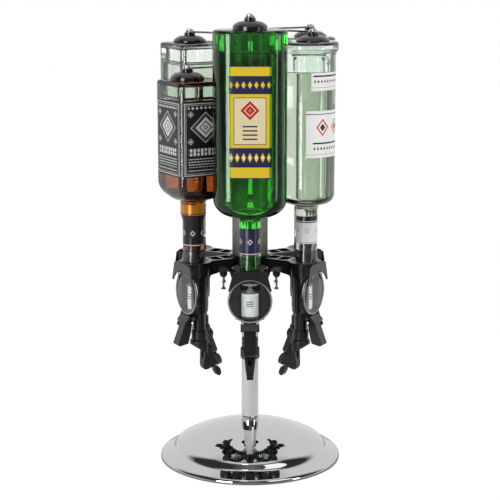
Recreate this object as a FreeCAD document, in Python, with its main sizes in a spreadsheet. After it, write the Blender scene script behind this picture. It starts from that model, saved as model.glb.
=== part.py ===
"""Rotating liquor dispenser: six upended bottles on a carousel over a chrome base.

Millimetres, +Z up, origin at the middle of the base's underside. Each station has a
frame of its own: +X runs outwards from the stand's axis, +Y runs sideways.
"""
import FreeCAD, Part
import math
import os
import re
import Sketcher

Vector = FreeCAD.Vector
UP = Vector(0, 0, 1)
SIDEWAYS = Vector(0, 1, 0)
OUTWARDS = Vector(1, 0, 0)

STATION_COUNT = 6
FLASK_STATION = 1
TALL_STATION = 5
SQUARE_STATION = 6
ROUND_STATIONS = (2, 3, 4)
HAIR = 0.05

# Driving sizes: name, millimetres or degrees, what it is
SIZES = [
    ("first_station_angle", -90.0, "direction of station 1"),
    ("fit_gap", 0.3, "clearance between pieces that are put together"),
    ("running_gap", 0.08, "radial clearance of a running fit"),
    ("base_radius", 120.0, "outer radius of the chrome base"),
    ("base_shell", 1.5, "wall of the chrome base"),
    ("base_bore", 9.0, "radius of the hole in the middle of the base"),
    ("crown_height", 45.5, "top of the base"),
    ("shoulder_curve", 12.0, "radius of the arc below the crown"),
    ("step_slope", 66.0, "steepest slope of the step round the crown"),
    ("hollow_curve", 9.0, "radius of the hollow at the foot of the step"),
    ("flange_slope", 26.0, "slope of the base's outer flange"),
    ("flange_width", 12.22, "level width of the flange's straight part"),
    ("rim_curve", 5.4, "radius of the arc at the rim"),
    ("rim_flat", 1.42, "upright edge of the rim"),
    ("rim_lift", 0.6, "height of the rim's edge above the table"),
    ("pad_thickness", 2.5, "foam pad under the base"),
    ("weight_inset", 28.0, "ballast's edge inside the base's rim"),
    ("weight_edge", 11.0, "thickness of the ballast at its edge"),
    ("weight_depth", 21.0, "thickness of the ballast near its middle"),
    ("weight_boss", 12.0, "radius of the ballast's boss"),
    ("weight_slope_inset", 58.0, "ballast's flat top inside the base's rim"),
    ("nut_recess_radius", 13.5, "recess for the nut under the ballast"),
    ("nut_recess_depth", 11.5, "depth of that recess"),
    ("rod_radius", 4.0, "tie rod"),
    ("nut_flats", 13.0, "nut across its flats"),
    ("nut_thickness", 6.5, "nut"),
    ("washer_radius", 11.0, "washer"),
    ("washer_thickness", 1.6, "washer"),
    ("pole_radius", 11.25, "outer radius of the pole"),
    ("pole_wall", 1.6, "wall of the pole"),
    ("foot_radius", 11.7, "chrome foot of the pole"),
    ("foot_height", 11.5, "height of that foot"),
    ("foot_spigot", 8.0, "length of the foot's spigot in the pole"),
    ("pole_drop", 25.0, "pole's top below the hub"),
    ("spindle_spigot", 20.0, "length of the spindle's spigot in the pole"),
    ("spindle_flange", 3.0, "thickness of the spindle's flange"),
    ("journal_radius", 7.0, "spindle's journal"),
    ("spindle_thread", 4.0, "radius of the spindle's threaded end"),
    ("spindle_thread_length", 9.0, "length of that end"),
    ("rod_grip", 14.0, "length of the tie rod in the spindle"),
    ("thrust_thickness", 1.5, "thrust washer"),
    ("hub_radius", 27.0, "carousel's hub"),
    ("hub_depth", 29.0, "depth of the hub's wide part"),
    ("hub_top", 279.0, "top of the hub"),
    ("boss_radius", 15.0, "hub's lower boss"),
    ("hub_recess_radius", 13.5, "recess in the hub's top"),
    ("hub_recess_depth", 5.3, "depth of the recess in the hub's top"),
    ("hub_spigot_height", 31.0, "hub's spigot inside the column"),
    ("arm_width", 24.0, "carousel arm"),
    ("arm_step", 2.0, "arms' tops below the hub's top"),
    ("arm_root_depth", 20.0, "depth of an arm at the hub"),
    ("arm_waist_radius", 46.0, "where the arm's underside is highest"),
    ("arm_waist_depth", 15.3, "depth of an arm at its waist"),
    ("arm_end_depth", 18.7, "depth of an arm at its outer end"),
    ("arm_pocket_depth", 2.2, "sunk panels in an arm's top"),
    ("arm_edge", 2.4, "raised edge beside a panel"),
    ("arm_pocket_start", 29.0, "inner end of the sunk panels"),
    ("arm_pocket_length", 14.0, "length of a sunk panel"),
    ("screw_circle", 40.0, "radius of the circle of arm screws"),
    ("screw_boss_radius", 5.1, "boss round an arm screw"),
    ("screw_boss_depth", 27.0, "depth of the boss round an arm screw"),
    ("screw_stem", 1.25, "stem radius of an arm screw"),
    ("screw_reach", 15.5, "arm screw below its boss"),
    ("screw_flare", 3.0, "radius of the screw's flared foot"),
    ("screw_collar", 1.9, "radius of the screw's collar"),
    ("column_flat", 20.13, "column's axis to one of its faces"),
    ("column_bore", 17.5, "bore of the column"),
    ("column_length", 288.0, "column above the hub"),
    ("cap_thickness", 3.0, "cap on the column"),
    ("cap_spigot", 9.0, "depth of the cap's spigot"),
    ("slot_width", 5.6, "slot in each face of the column"),
    ("slot_room", 12.85, "lower end of a slot below the lowest slide"),
    ("slot_inset", 13.0, "upper end of a slot below the column's top"),
    ("grub_radius", 2.1, "grub screws that hold the column"),
    ("grub_inset", 5.0, "grub screws below the spigot's top"),
    ("grub_length", 5.0, "length of a grub screw"),
    ("grub_recess", 0.6, "depth of a grub screw below the face"),
    ("neck_circle", 84.0, "stand's axis to a bottle's axis"),
    ("valve_circle", 76.4, "stand's axis to a valve tube's axis"),
    ("chamber_circle", 79.5, "stand's axis to a chamber's axis"),
    ("housing_radius", 20.0, "housing round a bottle's neck"),
    ("housing_step", 0.5, "housing's top below the arms' tops"),
    ("housing_depth", 18.5, "depth of the housing"),
    ("housing_front", 99.4, "front face of the housing"),
    ("mouth_seat_depth", 8.8, "depth of the seat of a bottle's mouth"),
    ("neck_step", 8.0, "height in which a bottle's neck narrows"),
    ("finish_radius", 14.3, "outer radius of a bottle's mouth"),
    ("yoke_wall", 2.6, "wall of the arm's yoke"),
    ("yoke_front", 90.0, "front ends of the arm's yoke"),
    ("sleeve_radius", 19.5, "upper sleeve of a measure"),
    ("sleeve_step_rise", 0.6, "where the sleeve gets thinner, above the lens's centre"),
    ("sleeve_lower_radius", 18.9, "lower sleeve of a measure"),
    ("sleeve_drop", 19.0, "lower end of the sleeve below the lens's centre"),
    ("ring_radius", 18.4, "ring under the sleeve"),
    ("ring_depth", 6.0, "depth of the ring under the sleeve"),
    ("sleeve_front", 91.0, "flat front of the sleeve"),
    ("lens_drop", 39.6, "lens's centre below the hood's top"),
    ("lens_radius", 28.5, "lens"),
    ("lens_back", 93.3, "back of the lens"),
    ("lens_edge", 2.2, "thickness of the lens at its edge"),
    ("lens_crown", 2.4, "how far the lens bulges"),
    ("bezel_radius", 28.0, "plate behind the lens"),
    ("bezel_back", 89.2, "back of that plate"),
    ("bezel_front", 93.0, "front of that plate"),
    ("window_width", 25.6, "window in that plate"),
    ("window_rise", 0.2, "window's top above the housing's underside"),
    ("hood_front", 101.2, "front of the hood"),
    ("hood_step", 0.9, "hood's top below the housing's top"),
    ("hood_flat", 14.0, "half the width of the hood's level top"),
    ("hood_corner", 21.3, "half the hood's width at its upper corners"),
    ("hood_corner_drop", 1.8, "hood's upper corners below its top"),
    ("hood_flare", 27.4, "half the hood's width at its lower corners"),
    ("hood_flare_rise", 14.6, "hood's lower corners above the lens's centre"),
    ("hood_tip", 25.3, "half the distance between the hood's tips"),
    ("cheek_inner", 17.4, "inner face of the hood's cheeks"),
    ("cheek_start", 90.6, "back of the hood's cheeks"),
    ("chamber_radius", 12.0, "measuring chamber"),
    ("chamber_wall", 1.1, "wall of the chamber"),
    ("chamber_rise", 2.5, "chamber's underside above the ring's"),
    ("chamber_height", 30.5, "height of the chamber"),
    ("chamber_port", 3.4, "hole in the chamber's floor"),
    ("poppet_cone", 7.0, "metering valve's cone"),
    ("poppet_cone_rise", 6.6, "top of the metering valve's cone above the chamber"),
    ("poppet_stem", 1.6, "metering valve's stem"),
    ("poppet_disc", 12.1, "metering valve's disc"),
    ("poppet_neck", 4.2, "metering valve's disc above its cone"),
    ("poppet_disc_thickness", 2.6, "thickness of that disc"),
    ("stopper_gap", 1.0, "stopper above the metering valve's disc"),
    ("stopper_depth", 24.0, "depth of a stopper in the bottle's neck"),
    ("stopper_taper", 0.4, "how much thinner its upper end is"),
    ("stopper_bore", 2.6, "bore of a stopper"),
    ("vent_radius", 3.4, "air tube of a stopper"),
    ("vent_length", 34.0, "air tube above the stopper"),
    ("tube_radius", 8.2, "valve tube"),
    ("tube_bore", 6.2, "bore of the valve tube"),
    ("tube_length", 27.0, "length of the valve tube"),
    ("spring_drop", 2.2, "seat of the valve spring below the ring"),
    ("spring_radius", 5.5, "outer radius of the valve spring"),
    ("stem_radius", 1.8, "plunger's stem"),
    ("seal_radius", 4.6, "plunger's seal over the chamber's hole"),
    ("seal_thickness", 1.4, "plunger's seal"),
    ("flange_radius", 5.8, "plunger's flange"),
    ("flange_thickness", 2.0, "plunger's flange"),
    ("pivot_circle", 88.6, "stand's axis to a lever's pivot"),
    ("pivot_drop", 9.5, "lever's pivot below the ring"),
    ("pivot_radius", 1.5, "lever's pin"),
    ("eye_radius", 3.2, "lever's eye"),
    ("web_width", 7.0, "lever's web"),
    ("lug_inner", 3.9, "inner face of the lugs beside the web"),
    ("lug_outer", 6.4, "outer face of those lugs"),
    ("lug_start", 82.0, "inner end of the lugs"),
    ("lug_end", 91.6, "outer end of the lugs"),
    ("lug_drop", 3.1, "underside of the lugs below the pivot"),
    ("finger_width", 5.2, "lever's finger"),
    ("finger_reach", 0.6, "how far the finger passes the valve tube's axis"),
    ("finger_drop", 2.1, "finger's top below the pivot"),
    ("finger_thickness", 2.4, "lever's finger"),
    ("bar_width", 14.0, "lever's bar"),
    ("bar_top_circle", 100.2, "front of the bar at its top"),
    ("bar_top_drop", 3.5, "top of the bar below the pivot"),
    ("bar_foot_circle", 111.4, "front of the bar at its foot"),
    ("bar_foot_drop", 31.9, "foot of the bar below the pivot"),
    ("bar_heel_circle", 96.0, "back of the bar at its foot"),
    ("bar_waist_circle", 92.2, "back of the bar at half height"),
    ("bar_waist_drop", 17.5, "waist of the bar below the pivot"),
    ("plate_width", 24.0, "lever's wide plate"),
    ("plate_thickness", 3.0, "lever's wide plate"),
    ("plate_top_circle", 96.2, "front of the plate at its top"),
    ("plate_rise", 5.1, "wide plate's top above the pivot"),
    ("plate_bottom_circle", 103.1, "front of the plate at its foot"),
    ("plate_drop", 2.3, "wide plate's foot below the pivot"),
    ("collar_radius", 10.2, "spout's collar"),
    ("collar_drop", 9.0, "spout's collar below the valve tube"),
    ("skirt_radius", 12.3, "spout's skirt"),
    ("skirt_drop", 2.4, "skirt's top below the collar"),
    ("skirt_shoulder", 3.0, "height of the skirt's shoulder"),
    ("skirt_outer_depth", 6.0, "depth of the skirt's outer side"),
    ("skirt_inner_depth", 22.1, "depth of the skirt's inner side"),
    ("tongue_width", 14.4, "spout's tongue at its top"),
    ("tongue_tip_width", 9.0, "spout's tongue at its tip"),
    ("tongue_length", 27.7, "length of the tongue"),
    ("tongue_rise", 6.5, "where the tongue leaves the skirt, above its inner side's foot"),
    ("channel_radius", 3.0, "spout's channel"),
    ("channel_length", 52.0, "length of that channel"),
    ("channel_run", 10.4, "how far the channel leans outward"),
    ("channel_rise", 48.0, "height in which it leans so far"),
    ("drip_width", 8.6, "drip tip"),
    ("drip_length", 9.6, "drip tip below the tongue"),
    ("cup_circle", 91.0, "stand's axis to a cup's axis"),
    ("cup_radius", 21.3, "rubber cup"),
    ("cup_height", 10.5, "rubber cup"),
    ("cup_dish", 2.0, "hollow under a cup"),
    ("knob_radius", 7.2, "cup's knob"),
    ("knob_height", 3.3, "cup's knob"),
    ("groove_radius", 3.2, "groove over the knob"),
    ("groove_height", 3.0, "groove over the knob"),
    ("nipple_radius", 4.0, "cup's nipple"),
    ("nipple_height", 2.4, "cup's nipple"),
    ("cup_seat_gap", 0.25, "cup above the bottle's base"),
    ("wire_radius", 1.3, "wire of a top arm"),
    ("wire_bend", 7.0, "bend of that wire"),
    ("wire_loop", 4.9, "loop round the cup's groove"),
    ("leg_length", 150.0, "upright leg of a top arm"),
    ("leg_gap", 0.45, "leg off the column's face"),
    ("slide_length", 50.0, "slide of a top arm"),
    ("slide_width", 9.0, "slide of a top arm"),
    ("slide_thickness", 3.6, "slide of a top arm"),
    ("shoe_width", 12.0, "shoe inside the column"),
    ("shoe_start", 13.2, "inner face of the shoe"),
    ("shoe_end", 15.9, "outer face of the shoe"),
    ("glass_wall", 2.6, "wall of a bottle"),
    ("glass_base", 4.5, "thickness of a bottle's base"),
    ("heel_curve", 4.0, "rounding at a bottle's base"),
    ("neck_radius", 13.6, "neck of a bottle"),
    ("neck_bore", 9.3, "bore of a bottle's neck"),
    ("finish_length", 16.0, "length of a bottle's thread"),
    ("flask_width", 92.5, "green flask"),
    ("flask_depth", 56.0, "green flask"),
    ("flask_corner", 27.5, "corner radius of the flask"),
    ("flask_height", 307.5, "height of the flask"),
    ("flask_shoulder_length", 29.0, "length of the flask's shoulder"),
    ("flask_neck_length", 69.0, "length of the flask's neck"),
    ("flask_room", 27.5, "room over the drink in the flask"),
    ("square_width", 70.0, "square bottles"),
    ("square_corner", 11.0, "corner radius of the square bottles"),
    ("square_height", 242.0, "height of the short square bottle"),
    ("square_shoulder_length", 28.0, "length of the square shoulders"),
    ("square_throat", 85.0, "length of the square bottles' necks"),
    ("square_neck_radius", 16.2, "their necks at the shoulder"),
    ("square_neck_length", 14.0, "length of the thick part of their necks"),
    ("square_punt", 0.7, "hollow in the short square bottle's base"),
    ("square_room", 25.0, "room over the drink in the short square bottle"),
    ("tall_height", 283.0, "height of the tall square bottle"),
    ("tall_turn", 60.0, "turn of the tall square bottle about its neck"),
    ("tall_punt", 2.2, "hollow in the tall square bottle's base"),
    ("tall_room", 27.0, "room over the drink in the tall square bottle"),
    ("round_radius", 35.0, "round bottle"),
    ("round_heel_radius", 38.8, "heel of the round bottle"),
    ("round_heel_height", 8.0, "heel of the round bottle"),
    ("round_height", 290.3, "height of the round bottles"),
    ("round_shoulder_length", 17.0, "length of their shoulders"),
    ("round_throat", 81.0, "length of the round bottles' necks"),
    ("round_punt", 3.5, "hollow in its base"),
    ("round_room", 37.3, "room over the drink in the round bottles"),
    ("punt_radius", 29.4, "radius of the hollow in a bottle's base"),
    ("fill_gap", 0.15, "liquid off the glass and the stopper"),
]

# Sizes that follow from those above: name, formula, what it is
FOLLOWING = [
    ("crown_fall", "crown_height - rim_lift - rim_flat - rim_curve * cos(flange_slope)"
     " - flange_width * tan(flange_slope) - hollow_curve * (cos(flange_slope) - cos(step_slope))"
     " - shoulder_curve * (1 - cos(step_slope))", "fall of the crown, less its shoulder"),
    ("crown_run", "base_radius - rim_curve * (1 - sin(flange_slope)) - flange_width"
     " - hollow_curve * (sin(step_slope) - sin(flange_slope)) - shoulder_curve * sin(step_slope) - base_bore",
     "run of the crown, less its shoulder"),
    ("crown_sweep", "2 * atan(crown_fall / crown_run) / 1 deg", "angle that the crown's arc turns"),
    ("crown_curve", "shoulder_curve + crown_run / sin(crown_sweep)", "radius of the crown's arc"),
    ("weight_radius", "base_radius - weight_inset", "radius of the ballast"),
    ("weight_shoulder", "base_radius - weight_slope_inset", "radius of the ballast's flat top"),
    ("hub_bottom", "hub_top - hub_depth", "underside of the hub's wide part"),
    ("pole_top", "hub_bottom - pole_drop", "top of the pole"),
    ("hub_floor", "hub_top - hub_recess_depth", "floor of that recess"),
    ("arm_top", "hub_top - arm_step", "top of an arm"),
    ("arm_root_bottom", "arm_top - arm_root_depth", "underside of an arm at the hub"),
    ("arm_waist_bottom", "arm_top - arm_waist_depth", "underside of the arm there"),
    ("arm_end_bottom", "arm_top - arm_end_depth", "underside of the arm at its outer end"),
    ("screw_boss_bottom", "arm_top - screw_boss_depth", "lowest point of that boss"),
    ("screw_bottom", "screw_boss_bottom - screw_reach", "lower end of an arm screw"),
    ("column_top", "hub_top + column_length", "top of the column"),
    ("slot_top", "column_top - slot_inset", "upper end of a slot"),
    ("grub_height", "hub_top + hub_spigot_height - grub_inset", "height of the grub screws"),
    ("housing_top", "arm_top - housing_step", "top of the housing"),
    ("housing_bottom", "housing_top - housing_depth", "underside of the housing"),
    ("housing_floor", "housing_top - mouth_seat_depth", "seat of the bottle's mouth"),
    ("window_top", "housing_bottom + window_rise", "top of the window"),
    ("hood_top", "housing_top - hood_step", "top of the hood"),
    ("lens_height", "hood_top - lens_drop", "height of the lens's centre"),
    ("sleeve_step", "lens_height + sleeve_step_rise", "where the sleeve gets thinner"),
    ("sleeve_bottom", "lens_height - sleeve_drop", "lower end of the sleeve"),
    ("ring_bottom", "sleeve_bottom - ring_depth", "underside of that ring"),
    ("hood_corner_height", "hood_top - hood_corner_drop", "height of the upper corners"),
    ("hood_flare_height", "lens_height + hood_flare_rise", "height of the lower corners"),
    ("chamber_bottom", "ring_bottom + chamber_rise", "underside of the chamber"),
    ("chamber_top", "chamber_bottom + chamber_height", "top of the chamber"),
    ("poppet_cone_top", "chamber_top + poppet_cone_rise", "top of that cone"),
    ("poppet_disc_bottom", "poppet_cone_top + poppet_neck", "underside of that disc"),
    ("poppet_disc_top", "poppet_disc_bottom + poppet_disc_thickness", "top of that disc"),
    ("stopper_bottom", "poppet_disc_top + stopper_gap", "lower end of a stopper"),
    ("tube_bottom", "ring_bottom - tube_length", "lower end of the valve tube"),
    ("spring_seat", "ring_bottom - spring_drop", "seat of the valve spring"),
    ("pivot_height", "ring_bottom - pivot_drop", "height of a lever's pivot"),
    ("lug_bottom", "pivot_height - lug_drop", "underside of the lugs"),
    ("bar_top_height", "pivot_height - bar_top_drop", "height there"),
    ("bar_foot_height", "pivot_height - bar_foot_drop", "height there"),
    ("bar_waist_height", "pivot_height - bar_waist_drop", "height there"),
    ("plate_top_height", "pivot_height + plate_rise", "height there"),
    ("plate_bottom_height", "pivot_height - plate_drop", "height there"),
    ("collar_bottom", "tube_bottom - collar_drop", "underside of that collar"),
    ("skirt_top", "collar_bottom - skirt_drop", "top of the skirt"),
    ("skirt_outer_bottom", "skirt_top - skirt_outer_depth", "outer side of the skirt's slanted underside"),
    ("skirt_inner_bottom", "skirt_top - skirt_inner_depth", "inner side of the skirt's slanted underside"),
    ("tongue_top", "skirt_inner_bottom + tongue_rise", "where the tongue leaves the skirt"),
    ("tongue_bottom", "tongue_top - tongue_length", "lowest point of the tongue"),
    ("drip_bottom", "tongue_bottom - drip_length", "lowest point of the drip tip"),
    ("mouth_height", "housing_floor + fit_gap", "mouth of a bottle"),
    ("stopper_top", "mouth_height + stopper_depth", "upper end of a stopper"),
    ("vent_top", "stopper_top + vent_length", "upper end of the air tube"),
    ("finish_top", "mouth_height + finish_length", "inner end of the bottle's thread"),
    ("flask_base", "mouth_height + flask_height", "height of the flask's base"),
    ("flask_neck", "mouth_height + flask_neck_length", "start of the flask's neck"),
    ("flask_shoulder", "flask_neck + flask_shoulder_length", "start of the flask's shoulder"),
    ("flask_fill", "flask_base - flask_room", "level of the drink in the flask"),
    ("square_base", "mouth_height + square_height", "height of the short square bottle's base"),
    ("square_neck", "mouth_height + square_throat", "start of the square bottles' necks"),
    ("slot_bottom", "square_base - square_punt + cup_seat_gap + cup_height + knob_height"
     " + groove_height / 2 - leg_length - slot_room", "lower end of a slot"),
    ("square_shoulder", "square_neck + square_shoulder_length", "start of the square shoulders"),
    ("square_fill", "square_base - square_room", "level of the drink in the short square bottle"),
    ("tall_base", "mouth_height + tall_height", "height of the tall square bottle's base"),
    ("tall_fill", "tall_base - tall_room", "level of the drink in the tall square bottle"),
    ("round_base", "mouth_height + round_height", "height of its base"),
    ("round_neck", "mouth_height + round_throat", "start of its neck"),
    ("round_shoulder", "round_neck + round_shoulder_length", "start of its shoulder"),
    ("round_fill", "round_base - round_room", "level of the drink in the round bottles"),
]

SIZE_NAMES = {name for name, _, _ in SIZES + FOLLOWING}

doc = FreeCAD.newDocument("Dispenser")
sheet = doc.addObject("Spreadsheet::Sheet", "Sizes")
for row, (size_name, size_value, size_note) in enumerate(SIZES + FOLLOWING, start=1):
    sheet.set(f"A{row}", size_name)
    sheet.set(f"B{row}", f"={size_value}")
    sheet.set(f"C{row}", size_note)
    sheet.setAlias(f"B{row}", size_name)
doc.recompute()

node_order = []


# Formulas and binding
def formula(text):
    """Names the sheet before every size in a formula."""
    def named(match):
        word = match.group(0)
        return f"Sizes.{word}" if word in SIZE_NAMES else word
    return re.sub(r"[a-z_]+", named, str(text))


def number(text):
    """The value that a formula has now."""
    return float(sheet.evalExpression(formula(text)))


def bind(item, **properties):
    """Ties an object's properties to formulas."""
    for name, text in properties.items():
        item.setExpression(name, formula(text))
    return item


def place(item, x=0, y=0, z=0):
    """Ties an object's place to formulas."""
    for axis, text in (("x", x), ("y", y), ("z", z)):
        item.setExpression(f".Placement.Base.{axis}", formula(text))
    return item


def turned_place(lift, angle):
    """A formula for a place that is lifted, and turned about the stand's axis."""
    return formula(f"placement(vector(0; 0; {lift}); rotation(vector(0; 0; 1); {angle}))")


# Sketches
def arc_between(start, end, radius, turns_left):
    """The short arc from start to end, as a circle's arc drawn anticlockwise."""
    middle = (start + end) * 0.5
    half = (end - start) * 0.5
    rise = math.sqrt(max(radius ** 2 - half.Length ** 2, 0.0))
    left = Vector(-half.y, half.x, 0)
    left.normalize()
    centre = middle + left * (rise if turns_left else -rise)
    first, last = (start, end) if turns_left else (end, start)
    begin = math.atan2(first.y - centre.y, first.x - centre.x)
    finish = math.atan2(last.y - centre.y, last.x - centre.x)
    if finish < begin:
        finish += 2 * math.pi
    return Part.ArcOfCircle(Part.Circle(centre, UP, radius), begin, finish)


def draw(sketch, steps):
    """Draws a closed outline whose corners and radii are tied to formulas.

    A step is (x, y) for a straight side that ends there, or (x, y, radius, side) for an
    arc that turns to that side. The first step is the corner that the outline starts from.
    """
    corners = [Vector(number(step[0]), number(step[1]), 0) for step in steps]
    count = len(steps)
    shapes = []
    ends = []
    arcs = {}
    for index in range(count):
        target = steps[(index + 1) % count]
        start = corners[index]
        end = corners[(index + 1) % count]
        if len(target) == 4:
            turns_left = target[3] == "left"
            shapes.append(arc_between(start, end, number(target[2]), turns_left))
            ends.append((1, 2) if turns_left else (2, 1))
            arcs[index] = target[2]
        else:
            shapes.append(Part.LineSegment(start, end))
            ends.append((1, 2))
    sketch.addGeometry(shapes, False)
    constraints = []
    formulas = {}
    for index in range(count):
        following = (index + 1) % count
        pair = (index, ends[index][1], following, ends[following][0])
        constraints.append(Sketcher.Constraint("Coincident", *pair))
    for index, corner in enumerate(corners):
        for kind, value, text in (("DistanceX", corner.x, steps[index][0]),
                                  ("DistanceY", corner.y, steps[index][1])):
            formulas[len(constraints)] = text
            point = (-1, 1, index, ends[index][0])
            constraints.append(Sketcher.Constraint(kind, *point, value))
    for index, text in arcs.items():
        formulas[len(constraints)] = text
        constraints.append(Sketcher.Constraint("Radius", index, number(text)))
    sketch.addConstraint(constraints)
    for index, text in formulas.items():
        sketch.setExpression(f"Constraints[{index}]", formula(text))
    return sketch


def sketch_in(body, name, role, steps):
    """A sketch on one of a body's own origin planes."""
    sketch = body.newObject("Sketcher::SketchObject", name)
    plane = next(item for item in body.Origin.OriginFeatures if item.Role == role)
    sketch.AttachmentSupport = (plane, [""])
    sketch.MapMode = "FlatFace"
    return draw(sketch, steps)


# Pieces
def new_body(name):
    body = doc.addObject("PartDesign::Body", name)
    body.Label = name
    return body


def turned(name, steps, x=0, y=0, z=0, axis="V_Axis"):
    """A piece turned round its own axis, upright if not said otherwise, from its outline."""
    body = new_body(name)
    sketch = sketch_in(body, f"{name}_outline", "XZ_Plane", steps)
    turn = body.newObject("PartDesign::Revolution", f"{name}_turn")
    turn.Profile = sketch
    turn.ReferenceAxis = (sketch, [axis])
    turn.Angle = 360
    return place(body, x, y, z)


def slab(body, name, width, steps, role="XZ_Plane", feature="Pad"):
    """A pad or pocket of an outline, as far to one side of its plane as to the other."""
    sketch = sketch_in(body, f"{name}_outline", role, steps)
    item = body.newObject(f"PartDesign::{feature}", name)
    item.Profile = sketch
    item.SideType = "Symmetric"
    return bind(item, Length=width)


def rod_in(body, name, radius, height, x=0, y=0, z=0, direction=UP, cuts=False):
    """A round added to a body or cut from it."""
    kind = "PartDesign::SubtractiveCylinder" if cuts else "PartDesign::AdditiveCylinder"
    item = body.newObject(kind, name)
    bind(item, Radius=radius, Height=height)
    item.Placement = FreeCAD.Placement(Vector(), FreeCAD.Rotation(UP, direction))
    return place(item, x, y, z)


def cylinder(name, radius, height, x=0, y=0, z=0, direction=UP):
    item = doc.addObject("Part::Cylinder", name)
    bind(item, Radius=radius, Height=height)
    item.Placement = FreeCAD.Placement(Vector(), FreeCAD.Rotation(UP, direction))
    return place(item, x, y, z)


def block(name, x_from, x_to, half_width, z_from, z_to, middle=0):
    """A box between two distances and two heights, centred sideways on the middle."""
    item = doc.addObject("Part::Box", name)
    bind(item, Length=f"({x_to}) - ({x_from})", Width=f"2 * ({half_width})",
         Height=f"({z_to}) - ({z_from})")
    return place(item, x_from, f"({middle}) - ({half_width})", z_from)


def hexagon(name, flat, height, z):
    """A hexagonal prism with a face square to every station."""
    item = doc.addObject("Part::Prism", name)
    item.Polygon = STATION_COUNT
    bind(item, Circumradius=f"({flat}) / cos(180 / {STATION_COUNT})", Height=height)
    item.setExpression("Placement", turned_place(z, f"first_station_angle + 180 / {STATION_COUNT}"))
    return item


def fused(name, *items):
    whole = doc.addObject("Part::MultiFuse", name)
    whole.Shapes = list(items)
    return whole


def without(name, base, *tools):
    tool = tools[0] if len(tools) == 1 else fused(f"{name}_tools", *tools)
    cut = doc.addObject("Part::Cut", name)
    cut.Base = base
    cut.Tool = tool
    return cut


def shared(name, first, second):
    """The space that two solids share."""
    common = doc.addObject("Part::Common", name)
    common.Base = first
    common.Tool = second
    return common


def node(item, name=None):
    """Marks an object as a finished piece with a file of its own."""
    if name:
        item.Label = name
    node_order.append(item)
    return item


def copy_at(master, name, station, lift=0):
    """A copy of a piece, turned about the stand's axis from the station frame to a station."""
    body = new_body(name)
    body.BaseFeature = master
    angle = f"first_station_angle + {360 // STATION_COUNT * (station - 1)}"
    body.setExpression("Placement", f"{turned_place(lift, angle)} * {master.Name}.Placement")
    return body


def six(master, name, finished=True):
    """Six copies of a piece, one at each station."""
    copies = []
    for station in range(1, STATION_COUNT + 1):
        copy = copy_at(master, f"{name}_{station}", station)
        copies.append(node(copy) if finished else copy)
    return copies


def group(name, items):
    """Several alike solids in one node."""
    whole = doc.addObject("Part::Compound", name)
    whole.Links = list(items)
    return node(whole, name)


# Stand
CROWN_EDGE = ("base_bore + crown_curve * sin(crown_sweep)",
              "crown_height - crown_curve * (1 - cos(crown_sweep))")
STEP_MIDDLE = (f"{CROWN_EDGE[0]} + shoulder_curve * (sin(step_slope) - sin(crown_sweep))",
               f"{CROWN_EDGE[1]} - shoulder_curve * (cos(crown_sweep) - cos(step_slope))")
RIM_HEIGHT = "rim_lift + rim_flat"
FLANGE_OUTER = ("base_radius - rim_curve * (1 - sin(flange_slope))", f"{RIM_HEIGHT} + rim_curve * cos(flange_slope)")
FLANGE_INNER = (f"{FLANGE_OUTER[0]} - flange_width", f"{FLANGE_OUTER[1]} + flange_width * tan(flange_slope)")


def under(point, slope):
    """The point of the shell's inner face below a point of its outer face."""
    return (f"{point[0]} - base_shell * sin({slope})", f"{point[1]} - base_shell * cos({slope})")


def make_base():
    steps = [
        ("base_bore", "crown_height"),
        (*CROWN_EDGE, "crown_curve", "right"),
        (*STEP_MIDDLE, "shoulder_curve", "right"),
        (*FLANGE_INNER, "hollow_curve", "left"),
        FLANGE_OUTER,
        ("base_radius", RIM_HEIGHT, "rim_curve", "right"),
        ("base_radius", "rim_lift"),
        ("base_radius - base_shell", "rim_lift"),
        ("base_radius - base_shell", RIM_HEIGHT),
        (*under(FLANGE_OUTER, "flange_slope"), "rim_curve - base_shell", "left"),
        under(FLANGE_INNER, "flange_slope"),
        (*under(STEP_MIDDLE, "step_slope"), "hollow_curve + base_shell", "right"),
        (*under(CROWN_EDGE, "crown_sweep"), "shoulder_curve - base_shell", "left"),
        ("base_bore", "crown_height - base_shell", "crown_curve - base_shell", "left"),
    ]
    node(turned("base_disc", steps))
    node(turned("base_pad", [
        (0, 0),
        ("base_radius - base_shell - fit_gap", 0),
        ("base_radius - base_shell - fit_gap", "pad_thickness"),
        (0, "pad_thickness"),
    ]))


def make_ballast():
    top = "pad_thickness + weight_depth"
    recess = "pad_thickness + nut_recess_depth"
    boss_top = "crown_height - base_shell - 0.1"
    node(turned("base_weight", [
        ("rod_radius + fit_gap", recess),
        ("nut_recess_radius", recess),
        ("nut_recess_radius", "pad_thickness"),
        ("weight_radius", "pad_thickness"),
        ("weight_radius", "pad_thickness + weight_edge"),
        ("weight_shoulder", top),
        ("weight_boss", top),
        ("weight_boss", boss_top),
        ("rod_radius + fit_gap", boss_top),
    ]))
    washer_bottom = f"{recess} - washer_thickness"
    washer = without("rod_washer", cylinder("rod_washer_disc", "washer_radius", "washer_thickness", z=washer_bottom),
                     cylinder("rod_washer_hole", "rod_radius + fit_gap", "washer_thickness", z=washer_bottom))
    nut_bottom = f"{washer_bottom} - nut_thickness"
    nut = without("rod_nut", hexagon("rod_nut_block", "nut_flats / 2", "nut_thickness", nut_bottom),
                  cylinder("rod_nut_thread", "rod_radius", "nut_thickness", z=nut_bottom))
    group("rod_fixings", [washer, nut])
    node(cylinder("tie_rod", "rod_radius", f"pole_top - spindle_spigot + rod_grip - ({nut_bottom}) + 1",
                  z=f"{nut_bottom} - 1"))


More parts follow.
